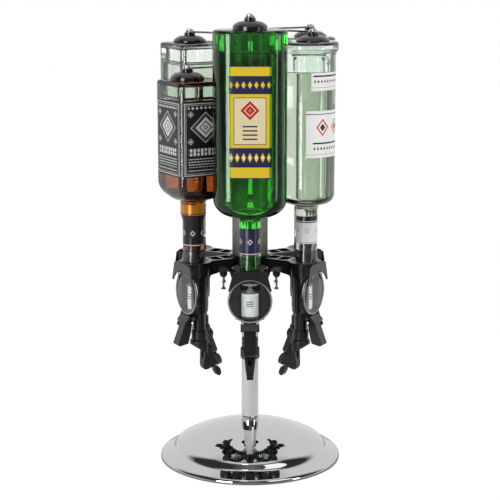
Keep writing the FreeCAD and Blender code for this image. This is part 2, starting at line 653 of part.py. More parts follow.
def make_pole():
    foot_top = "crown_height + foot_height"
    bore = "pole_radius - pole_wall - running_gap"
    node(turned("pole_foot", [
        ("rod_radius + fit_gap", "crown_height - base_shell"),
        ("base_bore - running_gap", "crown_height - base_shell"),
        ("base_bore - running_gap", "crown_height"),
        ("foot_radius", "crown_height"),
        ("foot_radius", f"{foot_top} - 1"),
        ("foot_radius - 0.45", foot_top),
        (bore, foot_top),
        (bore, f"{foot_top} + foot_spigot"),
        ("rod_radius + fit_gap", f"{foot_top} + foot_spigot"),
    ]))
    length = f"pole_top - ({foot_top})"
    node(without("pole", cylinder("pole_outside", "pole_radius", length, z=foot_top),
                 cylinder("pole_inside", "pole_radius - pole_wall", length, z=foot_top)))


FLANGE_TOP = "pole_top + spindle_flange"
HUB_UNDERSIDE = f"{FLANGE_TOP} + thrust_thickness + fit_gap"


def make_spindle():
    bore = "pole_radius - pole_wall - running_gap"
    journal_top = "hub_floor + fit_gap"
    node(turned("spindle", [
        ("rod_radius", "pole_top - spindle_spigot"),
        (bore, "pole_top - spindle_spigot"),
        (bore, "pole_top"),
        ("pole_radius", "pole_top"),
        ("pole_radius", FLANGE_TOP),
        ("journal_radius", FLANGE_TOP),
        ("journal_radius", journal_top),
        ("spindle_thread", journal_top),
        ("spindle_thread", f"{journal_top} + spindle_thread_length"),
        (0, f"{journal_top} + spindle_thread_length"),
        (0, "pole_top - spindle_spigot + rod_grip + 1"),
        ("rod_radius", "pole_top - spindle_spigot + rod_grip + 1"),
    ]))
    node(without("thrust_washer",
                 cylinder("thrust_outside", "pole_radius", "thrust_thickness", z=FLANGE_TOP),
                 cylinder("thrust_inside", "journal_radius + running_gap", "thrust_thickness", z=FLANGE_TOP)))
    washer = without("spindle_washer",
                     cylinder("spindle_washer_disc", "washer_radius", "washer_thickness", z=journal_top),
                     cylinder("spindle_washer_hole", "spindle_thread + running_gap", "washer_thickness",
                              z=journal_top))
    nut_bottom = f"{journal_top} + washer_thickness"
    nut = without("spindle_nut", hexagon("spindle_nut_block", "nut_flats / 2", "nut_thickness", nut_bottom),
                  cylinder("spindle_nut_thread", "spindle_thread", "nut_thickness", z=nut_bottom))
    group("spindle_fixings", [washer, nut])


# Carousel
HOUSING_CLEAR = "housing_radius + fit_gap"
SPIGOT_TOP = "hub_top + hub_spigot_height"


def make_arm():
    """One arm of the carousel with its yoke, in the station frame."""
    body = new_body("arm")
    slab(body, "arm_beam", "arm_width", [
        ("journal_radius + 6", "arm_root_bottom"),
        ("hub_radius + 3", "arm_root_bottom"),
        ("arm_waist_radius", "arm_waist_bottom"),
        ("neck_circle - housing_radius", "arm_end_bottom"),
        ("neck_circle - housing_radius", "arm_top"),
        ("journal_radius + 6", "arm_top"),
    ])
    yoke_height = "arm_top - arm_end_bottom"
    rod_in(body, "yoke", f"{HOUSING_CLEAR} + yoke_wall", yoke_height, x="neck_circle", z="arm_end_bottom")
    boss_ball = "screw_boss_bottom + screw_boss_radius"
    rod_in(body, "screw_boss", "screw_boss_radius", f"arm_waist_bottom + 2 - ({boss_ball})",
           x="screw_circle", z=boss_ball)
    dome = body.newObject("PartDesign::AdditiveSphere", "screw_boss_end")
    place(bind(dome, Radius="screw_boss_radius"), x="screw_circle", z=boss_ball)
    for index in range(2):
        start = f"arm_pocket_start + {index} * (arm_pocket_length + arm_edge)"
        slab(body, f"panel_{index + 1}", "arm_width - 2 * arm_edge", [
            (start, "arm_top - arm_pocket_depth"),
            (f"{start} + arm_pocket_length", "arm_top - arm_pocket_depth"),
            (f"{start} + arm_pocket_length", "arm_top + 1"),
            (start, "arm_top + 1"),
        ], feature="Pocket")
    rod_in(body, "yoke_bore", HOUSING_CLEAR, f"{yoke_height} + 2", x="neck_circle",
           z="arm_end_bottom - 1", cuts=True)
    slab(body, "yoke_opening", f"3 * ({HOUSING_CLEAR})", [
        ("yoke_front", "arm_end_bottom - 1"),
        ("neck_circle + 2 * housing_radius", "arm_end_bottom - 1"),
        ("neck_circle + 2 * housing_radius", "arm_top + 1"),
        ("yoke_front", "arm_top + 1"),
    ], feature="Pocket")
    rod_in(body, "screw_hole", "screw_stem", "arm_waist_bottom + 3 - screw_boss_bottom",
           x="screw_circle", z="screw_boss_bottom", cuts=True)
    return body


def make_hub():
    core = turned("hub_core", [
        ("journal_radius + running_gap", HUB_UNDERSIDE),
        ("boss_radius - 1", HUB_UNDERSIDE),
        ("boss_radius", f"{HUB_UNDERSIDE} + 1"),
        ("boss_radius", "hub_bottom - 5"),
        ("hub_radius", "hub_bottom + 2"),
        ("hub_radius", "hub_top"),
        ("column_bore - fit_gap", "hub_top"),
        ("column_bore - fit_gap", SPIGOT_TOP),
        ("hub_recess_radius", SPIGOT_TOP),
        ("hub_recess_radius", "hub_floor"),
        ("journal_radius + running_gap", "hub_floor"),
    ])
    arms = six(make_arm(), "hub_arm", finished=False)
    tapped = cylinder("grub_thread", "grub_radius + running_gap", "hub_radius - hub_recess_radius + 2",
                      x="hub_recess_radius - 2", z="grub_height", direction=OUTWARDS)
    node(without("hub_arms", fused("hub_blank", core, *arms), *six(tapped, "grub_thread_at", finished=False)))


def make_arm_screws():
    collar = "screw_bottom + 6.5"
    screw = turned("arm_screw", [
        (0, "screw_bottom"),
        ("screw_flare", "screw_bottom"),
        ("screw_flare", "screw_bottom + 0.8"),
        ("screw_stem", "screw_bottom + 3.6"),
        ("screw_stem", f"{collar} - 0.9"),
        ("screw_collar", collar),
        ("screw_stem", f"{collar} + 0.9"),
        ("screw_stem", "arm_waist_bottom + 3"),
        (0, "arm_waist_bottom + 3"),
    ], x="screw_circle")
    group("arm_screws", six(screw, "arm_screw", finished=False))


def make_column():
    height = "column_top - hub_top"
    tools = [cylinder("column_inside", "column_bore", height, z="hub_top")]
    for station in range(1, STATION_COUNT + 1):
        slot = block(f"column_slot_{station}", "column_bore / 2", "2 * column_flat", "slot_width / 2",
                     "slot_bottom", "slot_top")
        hole = cylinder(f"column_hole_{station}", "grub_radius + running_gap", "column_flat",
                        x="column_bore / 2", z="grub_height", direction=OUTWARDS)
        opening = fused(f"column_opening_{station}", slot, hole)
        tools.append(copy_at(opening, f"column_opening_at_{station}", station))
    node(without("column", hexagon("column_outside", "column_flat", height, "hub_top"), *tools))
    plate = hexagon("cap_plate", "column_flat", "cap_thickness", "column_top")
    plug = cylinder("cap_plug", "column_bore - fit_gap", "cap_spigot + 0.5", z="column_top - cap_spigot")
    node(fused("column_cap", plate, plug))
    grub = cylinder("grub", "grub_radius", "grub_length", x="column_flat - grub_recess - grub_length",
                    z="grub_height", direction=OUTWARDS)
    grub_master = fused("grub_master", grub, cylinder("grub_point", "grub_radius / 2", "1",
                        x="column_flat - grub_recess - grub_length - 0.6", z="grub_height", direction=OUTWARDS))
    group("column_screws", six(grub_master, "column_screw", finished=False))


# Measures
def upright_prism(name, half_width, steps, middle=0):
    """An outline of distance and height, drawn out sideways."""
    body = new_body(name)
    slab(body, f"{name}_slab", f"2 * ({half_width})", steps)
    return place(body, y=middle)


def facing_prism(name, x_from, x_to, steps):
    """An outline of sideways place and height, drawn out along the station's radius."""
    body = new_body(name)
    slab(body, f"{name}_slab", f"({x_to}) - ({x_from})", steps, role="YZ_Plane")
    return place(body, x=f"(({x_from}) + ({x_to})) / 2")


def make_measure_body():
    far = "neck_circle + 2 * housing_radius"
    wide = "2 * housing_radius"
    sleeves = fused("sleeves",
                    cylinder("sleeve_upper", "sleeve_radius", "housing_bottom - sleeve_step + 1",
                             x="neck_circle", z="sleeve_step"),
                    cylinder("sleeve_lower", "sleeve_lower_radius", "sleeve_step - sleeve_bottom",
                             x="neck_circle", z="sleeve_bottom"),
                    cylinder("sleeve_ring", "ring_radius", "sleeve_bottom - ring_bottom",
                             x="neck_circle", z="ring_bottom"))
    sleeve = without("sleeve", sleeves,
                     block("sleeve_front_cut", "sleeve_front", far, wide, "ring_bottom - 1", "housing_bottom + 2"))
    housing = without("housing", cylinder("housing_round", "housing_radius", "housing_top - housing_bottom",
                                          x="neck_circle", z="housing_bottom"),
                      block("housing_front_cut", "housing_front", far, wide, "housing_bottom - 1",
                            "housing_top + 1"))
    bezel = cylinder("bezel", "bezel_radius", "bezel_front - bezel_back", x="bezel_back", z="lens_height",
                     direction=OUTWARDS)
    tip_height = "lens_height + sqrt(lens_radius ^ 2 - hood_tip ^ 2)"
    hood = facing_prism("hood", "housing_front", "hood_front", [
        ("-hood_flat", "hood_top"),
        ("-hood_corner", "hood_corner_height"),
        ("-hood_flare", "hood_flare_height"),
        ("-hood_tip", tip_height),
        ("hood_tip", tip_height, "lens_radius", "right"),
        ("hood_flare", "hood_flare_height"),
        ("hood_corner", "hood_corner_height"),
        ("hood_flat", "hood_top"),
    ])
    cheek_half = "(hood_corner - cheek_inner) / 2"
    cheek_middle = "(hood_corner + cheek_inner) / 2"
    cheeks = [block(f"cheek_{side}", "cheek_start", "housing_front", cheek_half, "lens_height + lens_radius - 2",
                    "hood_corner_height", middle=f"{sign} * {cheek_middle}")
              for side, sign in (("left", -1), ("right", 1))]
    tube = cylinder("valve_tube", "tube_radius", "ring_bottom - tube_bottom + 1", x="valve_circle",
                    z="tube_bottom")
    lug_half = "(lug_outer - lug_inner) / 2"
    lug_middle = "(lug_outer + lug_inner) / 2"
    lugs = [block(f"lug_{side}", "lug_start", "lug_end", lug_half, "lug_bottom", "ring_bottom + 1",
                  middle=f"{sign} * {lug_middle}")
            for side, sign in (("left", -1), ("right", 1))]
    whole = fused("measure_blank", sleeve, housing, bezel, hood, *cheeks, tube, *lugs)
    chamber_floor = "chamber_bottom - fit_gap"
    tools = [
        cylinder("neck_bore", "finish_radius + fit_gap", "housing_top - housing_floor + 1",
                 x="neck_circle", z="housing_floor"),
        cylinder("lens_recess", "lens_radius + fit_gap", "hood_front - bezel_front + 1", x="bezel_front",
                 z="lens_height", direction=OUTWARDS),
        cylinder("stopper_hole", "neck_bore", "housing_floor - housing_bottom + 2",
                 x="neck_circle", z="housing_bottom - 1"),
        cylinder("chamber_bore", "chamber_radius + fit_gap", f"housing_bottom + 0.2 - ({chamber_floor})",
                 x="chamber_circle", z=chamber_floor),
        block("window", "chamber_circle", "bezel_front + 1", "window_width / 2", chamber_floor, "window_top"),
        cylinder("tube_bore_cut", "tube_bore", "spring_seat - tube_bottom + 1", x="valve_circle",
                 z="tube_bottom - 1"),
        cylinder("stem_bore", "chamber_port", "chamber_bottom - tube_bottom", x="valve_circle",
                 z="tube_bottom"),
        block("finger_window", "valve_circle", "valve_circle + tube_radius + 2", "web_width / 2 + fit_gap",
              "pivot_height - eye_radius - finger_thickness - 1", "pivot_height + eye_radius + 1"),
        cylinder("pin_hole", "pivot_radius + running_gap", "2 * lug_outer + 2", x="pivot_circle",
                 y="-lug_outer - 1", z="pivot_height", direction=SIDEWAYS),
    ]
    six(without("measure", whole, *tools), "measure_body")


def make_lenses():
    crown = "((lens_radius - 2) ^ 2 + (lens_crown - 0.6) ^ 2) / (2 * (lens_crown - 0.6))"
    lens = turned("lens", [
        (0, 0),
        (0, "lens_radius"),
        ("lens_edge", "lens_radius"),
        ("lens_edge + 0.6", "lens_radius - 2"),
        ("lens_edge + lens_crown", 0, crown, "right"),
    ], x="lens_back", z="lens_height", axis="H_Axis")
    group("lenses", six(lens, "lens", finished=False))


def make_chambers():
    inner = "chamber_radius - chamber_wall"
    cup = turned("chamber_cup", [
        (0, "chamber_bottom"),
        ("chamber_radius", "chamber_bottom"),
        ("chamber_radius", "chamber_top"),
        (inner, "chamber_top"),
        (inner, "chamber_bottom + chamber_wall"),
        (0, "chamber_bottom + chamber_wall"),
    ], x="chamber_circle")
    port = cylinder("chamber_outlet", "chamber_port", "chamber_wall + 2", x="valve_circle",
                    z="chamber_bottom - 1")
    chamber = without("chamber", cup, port)
    group("measuring_chambers", six(chamber, "chamber", finished=False))
    poppet_bottom = "chamber_top + running_gap"
    poppet = turned("poppet", [
        (0, poppet_bottom),
        ("chamber_radius", poppet_bottom),
        ("chamber_radius", f"{poppet_bottom} + 0.8"),
        ("poppet_cone", f"{poppet_bottom} + 0.8"),
        ("poppet_stem", "poppet_cone_top"),
        ("poppet_stem", "poppet_disc_bottom"),
        ("poppet_disc", "poppet_disc_bottom"),
        ("poppet_disc", "poppet_disc_top"),
        (0, "poppet_disc_top"),
    ], x="chamber_circle")
    group("metering_valves", six(poppet, "metering_valve", finished=False))


def make_stoppers():
    stopper_radius = "neck_bore - fit_gap"
    stopper = turned("stopper", [
        ("stopper_bore", "stopper_bottom"),
        (stopper_radius, "stopper_bottom"),
        (f"{stopper_radius} - stopper_taper", "stopper_top"),
        ("vent_radius", "stopper_top"),
        ("vent_radius", "vent_top"),
        ("stopper_bore", "vent_top"),
    ], x="neck_circle")
    group("stoppers", six(stopper, "stopper", finished=False))


FLANGE_BOTTOM = "pivot_height - finger_drop + 0.2"
PORT_SEAT = "chamber_bottom + chamber_wall + running_gap"


def make_valves():
    plunger = turned("plunger_master", [
        (0, FLANGE_BOTTOM),
        ("flange_radius", FLANGE_BOTTOM),
        ("flange_radius", f"{FLANGE_BOTTOM} + flange_thickness"),
        ("stem_radius", f"{FLANGE_BOTTOM} + flange_thickness"),
        ("stem_radius", PORT_SEAT),
        ("seal_radius", PORT_SEAT),
        ("seal_radius", f"{PORT_SEAT} + seal_thickness"),
        (0, f"{PORT_SEAT} + seal_thickness"),
    ], x="valve_circle")
    six(plunger, "plunger")
    spring_bottom = f"{FLANGE_BOTTOM} + flange_thickness + running_gap"
    spring = turned("valve_spring", [
        ("stem_radius + 2 * fit_gap", spring_bottom),
        ("spring_radius", spring_bottom),
        ("spring_radius", "spring_seat"),
        ("stem_radius + 2 * fit_gap", "spring_seat"),
    ], x="valve_circle")
    group("valve_springs", six(spring, "valve_spring", finished=False))


def make_levers():
    lever = new_body("lever_master")
    slab(lever, "lever_bar", "bar_width", [
        ("bar_waist_circle - 1.8", "lug_bottom - 3"),
        ("bar_waist_circle", "bar_waist_height"),
        ("bar_heel_circle", "bar_foot_height"),
        ("bar_foot_circle - 3", "bar_foot_height - 2.2"),
        ("bar_foot_circle", "bar_foot_height"),
        ("bar_top_circle", "bar_top_height"),
        ("bar_top_circle - 2", "lug_bottom"),
    ])
    slab(lever, "lever_web", "web_width", [
        ("pivot_circle - eye_radius + 0.6", "pivot_height - 1.6"),
        ("bar_waist_circle - 1.8", "lug_bottom - 3.2"),
        ("bar_top_circle - 0.6", "lug_bottom - 3.2"),
        ("bar_top_circle - 0.6", "bar_top_height + 1"),
        ("plate_top_circle - 1", "plate_top_height - 2"),
        ("pivot_circle + 1.6", "pivot_height + eye_radius - 0.5"),
    ])
    rod_in(lever, "lever_eye", "eye_radius", "web_width", x="pivot_circle", y="-web_width / 2",
           z="pivot_height", direction=SIDEWAYS)
    slab(lever, "lever_plate", "plate_width", [
        ("plate_top_circle", "plate_top_height"),
        ("plate_top_circle - plate_thickness * 0.8", "plate_top_height - plate_thickness * 0.6"),
        ("plate_bottom_circle - plate_thickness * 0.8", "plate_bottom_height - plate_thickness * 0.6"),
        ("plate_bottom_circle", "plate_bottom_height"),
    ])
    finger_top = "pivot_height - finger_drop"
    slab(lever, "lever_finger", "finger_width", [
        ("valve_circle - finger_reach", f"{finger_top} - finger_thickness"),
        ("pivot_circle", f"{finger_top} - finger_thickness"),
        ("pivot_circle", finger_top),
        ("valve_circle - finger_reach", finger_top),
    ])
    rod_in(lever, "lever_bore", "pivot_radius + running_gap", "web_width + 2", x="pivot_circle",
           y="-web_width / 2 - 1", z="pivot_height", direction=SIDEWAYS, cuts=True)
    six(lever, "lever")
    pin = cylinder("pin_round", "pivot_radius", "2 * lug_outer", x="pivot_circle", y="-lug_outer",
                   z="pivot_height", direction=SIDEWAYS)
    pin_head = cylinder("pin_head", "pivot_radius + 0.9", "0.8", x="pivot_circle", y="lug_outer",
                        z="pivot_height", direction=SIDEWAYS)
    group("lever_pins", six(fused("lever_pin", pin, pin_head), "lever_pin", finished=False))


def make_spouts():
    skirt_start = "skirt_top - skirt_shoulder"
    skirt_round = turned("skirt_round", [
        (0, "skirt_inner_bottom - 1"),
        ("skirt_radius", "skirt_inner_bottom - 1"),
        ("skirt_radius", skirt_start),
        ("collar_radius", "skirt_top", "skirt_shoulder + 1", "left"),
        ("collar_radius", "tube_bottom"),
        (0, "tube_bottom"),
    ], x="valve_circle")
    outer_side = "valve_circle + skirt_radius + 4"
    inner_side = "valve_circle - skirt_radius - 4"
    fall = "(skirt_outer_bottom - skirt_inner_bottom) / (2 * skirt_radius)"
    slant = upright_prism("skirt_slant", "skirt_radius + 2", [
        (inner_side, f"skirt_inner_bottom - 4 * {fall}"),
        (inner_side, "skirt_inner_bottom - 12"),
        (outer_side, "skirt_inner_bottom - 12"),
        (outer_side, f"skirt_outer_bottom + 4 * {fall}"),
    ])
    skirt = without("skirt", skirt_round, slant)
    side = upright_prism("tongue_side", "tongue_width", [
        ("valve_circle - 1", "collar_bottom + 2"),
        ("valve_circle - 6", "collar_bottom - 4.5"),
        ("valve_circle - 11.9", "tongue_top + 8"),
        ("valve_circle - 14.8", "tongue_top + 4.2"),
        ("valve_circle - 14.2", "tongue_top - 2.6"),
        ("valve_circle - 22.2", "tongue_bottom + 10.2"),
        ("valve_circle - 22", "tongue_bottom + 6.7"),
        ("valve_circle - 18.4", "tongue_bottom + 4"),
        ("valve_circle - 13.4", "tongue_bottom + 2.2"),
        ("valve_circle - 7.9", "tongue_bottom"),
        ("valve_circle - 3.2", "tongue_bottom + 8.7", "9", "left"),
        ("valve_circle - 4.9", "tongue_top - 2"),
        ("valve_circle + 3", "tongue_top + 3"),
    ])
    front = facing_prism("tongue_front", "valve_circle - 30", "valve_circle + 10", [
        ("-tongue_width / 2 - 2", "collar_bottom + 2"),
        ("-tongue_width / 2", "tongue_top - 2"),
        ("-tongue_tip_width / 2", "tongue_bottom + 1.5"),
        ("tongue_tip_width / 2", "tongue_bottom + 1.5", "tongue_tip_width * 0.75", "left"),
        ("tongue_width / 2", "tongue_top - 2"),
        ("tongue_width / 2 + 2", "collar_bottom + 2"),
    ])
    drip = upright_prism("drip_tip", "drip_width / 2", [
        ("valve_circle - 19.6", "drip_bottom + 15.5"),
        ("valve_circle - 24.6", "drip_bottom + 13.4"),
        ("valve_circle - 30.2", "drip_bottom + 4", "12", "left"),
        ("valve_circle - 25.6", "drip_bottom", "3.6", "left"),
        ("valve_circle - 21", "drip_bottom + 8", "16", "left"),
    ])
    whole = fused("spout_blank", skirt, shared("tongue", side, front), drip)
    bore = cylinder("spout_bore", "tube_bore", "tube_bottom - collar_bottom + 2", x="valve_circle",
                    z="collar_bottom - 1")
    lean = Vector(number("channel_run"), 0, number("channel_rise"))
    channel = cylinder("spout_channel", "channel_radius", "channel_length", x="valve_circle - 10.9", z="tongue_bottom - 3.5",
                       direction=lean)
    group("spouts", six(without("spout", whole, bore, channel), "spout", finished=False))


# Cups and top arms
CUP_SEATS = {
    FLASK_STATION: "flask_base",
    TALL_STATION: "tall_base - tall_punt",
    SQUARE_STATION: "square_base - square_punt",
}
ROUND_SEAT = "round_base - round_punt"


def cup_seat(station):
    return f"{CUP_SEATS.get(station, ROUND_SEAT)} + cup_seat_gap"


def make_cups():
    knob_top = "cup_height + knob_height"
    groove_top = f"{knob_top} + groove_height"
    cup = turned("cup_master", [
        (0, "cup_dish"),
        ("cup_radius - 4", 0, "70", "left"),
        ("cup_radius", 0),
        ("cup_radius", 4.5),
        ("knob_radius", "cup_height", "cup_radius - 4.4", "left"),
        ("knob_radius", knob_top),
        ("groove_radius", knob_top),
        ("groove_radius", groove_top),
        ("nipple_radius", groove_top),
        ("nipple_radius * 0.6", f"{groove_top} + nipple_height"),
        (0, f"{groove_top} + nipple_height"),
    ], x="cup_circle")
    for station in range(1, STATION_COUNT + 1):
        node(copy_at(cup, f"cup_{station}", station, lift=cup_seat(station)))


WIRE_HEIGHT = "cup_height + knob_height + groove_height / 2"
LEG_CIRCLE = "column_flat + leg_gap + wire_radius"


def make_top_arms():
    leg_bottom = f"{WIRE_HEIGHT} - leg_length"
    leg_top = f"{WIRE_HEIGHT} - wire_bend"
    leg = cylinder("arm_leg", "wire_radius", f"{leg_top} - ({leg_bottom})", x=LEG_CIRCLE, z=leg_bottom)
    bend = doc.addObject("Part::Torus", "arm_bend")
    bind(bend, Radius1="wire_bend", Radius2="wire_radius")
    bend.Angle3 = 90
    bend.Placement = FreeCAD.Placement(Vector(), FreeCAD.Rotation(Vector(-1, 0, 0), UP, Vector(0, 1, 0), "XZY"))
    place(bend, x=f"{LEG_CIRCLE} + wire_bend", z=leg_top)
    reach = cylinder("arm_reach", "wire_radius", f"cup_circle - wire_loop - ({LEG_CIRCLE} + wire_bend)",
                     x=f"{LEG_CIRCLE} + wire_bend", z=WIRE_HEIGHT, direction=OUTWARDS)
    loop = doc.addObject("Part::Torus", "arm_loop")
    bind(loop, Radius1="wire_loop", Radius2="wire_radius")
    place(loop, x="cup_circle", z=WIRE_HEIGHT)
    slide_top = f"{leg_bottom} + slide_length"
    slide = block("arm_slide", "column_flat + leg_gap", "column_flat + leg_gap + slide_thickness",
                  "slide_width / 2", leg_bottom, slide_top)
    neck = block("arm_neck", "shoe_end - 0.5", "column_flat + leg_gap + 0.5", "slot_width / 2 - fit_gap - 0.1",
                 f"{leg_bottom} + 3", f"{slide_top} - 3")
    shoe = block("arm_shoe", "shoe_start", "shoe_end", "shoe_width / 2", leg_bottom, slide_top)
    arm = fused("top_arm_master", leg, bend, reach, loop, slide, neck, shoe)
    for station in range(1, STATION_COUNT + 1):
        node(copy_at(arm, f"top_arm_{station}", station, lift=cup_seat(station)))


# Bottles
def level_ring(height, half_depth, half_width, corner):
    """A closed level outline with round corners, centred on a bottle's axis."""
    reach = half_depth - corner
    side = half_width - corner
    diagonal = corner * math.sqrt(0.5)
    corners = []
    for sign_x, sign_y in ((1, 1), (-1, 1), (-1, -1), (1, -1)):
        centre = Vector(sign_x * reach, sign_y * side, height)
        flat_x = centre + Vector(sign_x * corner, 0, 0)
        flat_y = centre + Vector(0, sign_y * corner, 0)
        middle = centre + Vector(sign_x * diagonal, sign_y * diagonal, 0)
        corners.append((flat_x, middle, flat_y) if sign_x == sign_y else (flat_y, middle, flat_x))
    edges = []
    for index, (first, middle, last) in enumerate(corners):
        following = corners[(index + 1) % len(corners)][0]
        edges.append(Part.Arc(first, middle, last).toShape())
        edges.append(Part.LineSegment(last, following).toShape())
    return Part.Wire(edges)


def round_ring(height, radius):
    """A ring that is as good as round, with as many sides as the others."""
    return (height, radius, radius, radius - HAIR)


def inset_ring(ring, depth):
    height, half_depth, half_width, corner = ring
    return (height, half_depth - depth, half_width - depth, max(corner - depth, 1.0))


def lofted(rings):
    return Part.makeLoft([level_ring(*ring) for ring in rings], True, True)


def body_rings(base, half_depth, half_width, corner, shoulder, neck_start, neck_radius, turns=7):
    """Rings of a bottle from its base to where the shoulder has closed in to the neck."""
    heel = number("heel_curve")
    full = (base - heel, half_depth, half_width, corner)
    rings = [inset_ring((base, *full[1:]), heel), inset_ring((base - heel * 0.3, *full[1:]), heel * 0.3), full]
    for index in range(turns):
        share = index / turns
        blend = 1 - math.cos(share * math.pi / 2)
        depth = half_depth + (neck_radius - half_depth) * blend
        width = half_width + (neck_radius - half_width) * blend
        round_off = corner + (neck_radius - HAIR - corner) * blend
        height = shoulder + (neck_start - shoulder) * math.sin(share * math.pi / 2)
        rings.append((height, depth, width, min(round_off, depth - HAIR, width - HAIR)))
    return rings


def glass_and_drink(body, neck_start, neck, floor, level):
    """A glass bottle, upside down, and what it holds."""
    wall = number("glass_wall")
    gap = number("fill_gap")
    bore = number("neck_bore")
    mouth = number("mouth_height")
    finish_top = number("finish_top")
    finish = number("finish_radius")
    outside = body + neck + [
        round_ring(finish_top + 1, number("neck_radius")),
        round_ring(finish_top, finish),
        round_ring(mouth, finish),
    ]
    inside = [inset_ring(ring, wall) for ring in body if ring[0] < floor]
    throat = [round_ring(neck_start, bore), round_ring(mouth - 1, bore)]
    glass = lofted(outside).cut(lofted([(floor, *inside[0][1:]), *inside, *throat]))
    wet = [inset_ring(ring, gap) for ring in inside if ring[0] < level]
    foot = number("stopper_top") + gap
    drink = lofted([(level, *wet[0][1:]), *wet, round_ring(neck_start, bore - gap), round_ring(foot, bore - gap)])
    return glass, drink


def seated(name, shape, turn=0):
    """A shape that was made round its own axis, set on its station's circle."""
    item = doc.addObject("Part::Feature", name)
    item.Shape = shape
    item.setExpression("Placement", formula(
        f"placement(vector(neck_circle; 0; 0); rotation(vector(0; 0; 1); {turn}))"))
    return item


def make_bottle(name, station, rings, neck_start, neck, base, level, punt=None, turn=0):
    """A lofted bottle with its drink; the drink is returned."""
    floor = number(f"{base} - ({punt or 0}) - glass_base")
    glass, drink = glass_and_drink(rings, number(neck_start), neck, floor, number(level))
    whole = seated(f"{name}_glass", glass, turn)
    if punt:
        hollow = cylinder(f"{name}_hollow", "punt_radius", f"{punt} + 1", x="neck_circle",
                          z=f"{base} - {punt}")
        whole = without(name, whole, hollow)
    node(copy_at(whole, f"bottle_{station}", station))
    tube = cylinder(f"{name}_air", "vent_radius + fill_gap", "vent_top - stopper_top + 2 * fill_gap",
                    x="neck_circle", z="stopper_top")
    return without(f"{name}_drink", seated(f"{name}_fill", drink, turn), tube)


def make_bottles():
    drinks = {}
    neck_radius = number("neck_radius")
    flask = body_rings(number("flask_base"), number("flask_depth / 2"), number("flask_width / 2"),
                       number("flask_corner"), number("flask_shoulder"), number("flask_neck"), neck_radius)
    drinks[FLASK_STATION] = make_bottle("flask", FLASK_STATION, flask, "flask_neck",
                                        [round_ring(number("flask_neck"), neck_radius)],
                                        "flask_base", "flask_fill")
    thick = number("square_neck_radius")
    step = number("square_neck - square_neck_length")
    neck = [round_ring(number("square_neck"), thick), round_ring(step, thick),
            round_ring(step - number("neck_step"), neck_radius)]
    for name, station, turn in (("square", SQUARE_STATION, 0), ("tall", TALL_STATION, "tall_turn")):
        half = number("square_width / 2")
        rings = body_rings(number(f"{name}_base"), half, half, number("square_corner"),
                           number("square_shoulder"), number("square_neck"), thick)
        drinks[station] = make_bottle(name, station, rings, "square_neck", neck, f"{name}_base",
                                      f"{name}_fill", punt=f"{name}_punt", turn=turn)
    glass, drink = make_round_bottle()
    for station in ROUND_STATIONS:
        node(copy_at(glass, f"bottle_{station}", station))
        drinks[station] = drink
    group("drinks", [copy_at(drinks[station], f"drink_{station}", station) for station in sorted(drinks)])


def make_round_bottle():
    heel_bottom = "round_base - round_heel_height"
    hollow = "round_base - round_punt"
    inner = "round_radius - glass_wall"
    shoulder_curve = "(round_shoulder - round_neck) * 1.12"
    glass = turned("round_glass", [
        (0, hollow),
        ("punt_radius", hollow),
        ("punt_radius + 1.5", "round_base"),
        ("round_heel_radius - 2.5", "round_base"),
        ("round_heel_radius", "round_base - 2.5", "2.5", "right"),
        ("round_heel_radius", heel_bottom),
        ("round_radius", f"{heel_bottom} - 9", "20", "right"),
        ("round_radius", "round_shoulder"),
        ("neck_radius + 3", "round_neck", shoulder_curve, "right"),
        ("neck_radius", "round_neck - neck_step", "9", "left"),
        ("neck_radius", "finish_top"),
        ("finish_radius", "finish_top"),
        ("finish_radius", "mouth_height"),
        ("neck_bore", "mouth_height"),
        ("neck_bore", "round_neck - neck_step"),
        ("neck_bore + 4", "round_neck", "9 + glass_wall", "right"),
        (inner, "round_shoulder", shoulder_curve, "left"),
        (inner, f"{hollow} - glass_base"),
        (0, f"{hollow} - glass_base"),
    ], x="neck_circle")
    drink = turned("round_drink", [
        (0, "round_fill"),
        (0, "vent_top + fill_gap"),
        ("vent_radius + fill_gap", "vent_top + fill_gap"),
        ("vent_radius + fill_gap", "stopper_top + fill_gap"),
        ("neck_bore - fill_gap", "stopper_top + fill_gap"),
        ("neck_bore - fill_gap", "round_neck - neck_step"),
        ("neck_bore + 4 - fill_gap", "round_neck + fill_gap", "9 + glass_wall", "right"),
        (f"{inner} - fill_gap", "round_shoulder + fill_gap", shoulder_curve, "left"),
        (f"{inner} - fill_gap", "round_fill"),
    ], x="neck_circle")
    return glass, drink


def check_and_write():
    doc.recompute()
    faulty = [item.Label for item in doc.Objects
              if "Invalid" in item.State or "Error" in item.State]
    for item in node_order:
        if item.Shape.isNull() or not item.Shape.isValid():
            faulty.append(item.Label)
    if faulty:
        raise RuntimeError(f"faulty pieces: {', '.join(faulty)}")
    os.makedirs("parts", exist_ok=True)
    for item in node_order:
        item.Shape.exportStep(os.path.join("parts", f"{item.Label}.step"))
        print(f"{item.Label}: {len(item.Shape.Solids)} solids, {item.Shape.Volume / 1000:.2f} cm3")


make_base()
make_ballast()
make_pole()
make_spindle()
make_hub()
make_arm_screws()
make_column()
make_measure_body()
make_lenses()
make_chambers()
make_stoppers()
make_valves()
make_levers()
make_spouts()
make_cups()
make_top_arms()
make_bottles()
check_and_write()
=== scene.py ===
"""Looks of a rotating liquor dispenser: its finishes, glass, drinks, labels and fine pieces."""
import logging
import math
from collections.abc import Callable, Sequence
from dataclasses import dataclass, field
from enum import Enum

import bmesh
import bpy
from mathutils import Matrix, Vector


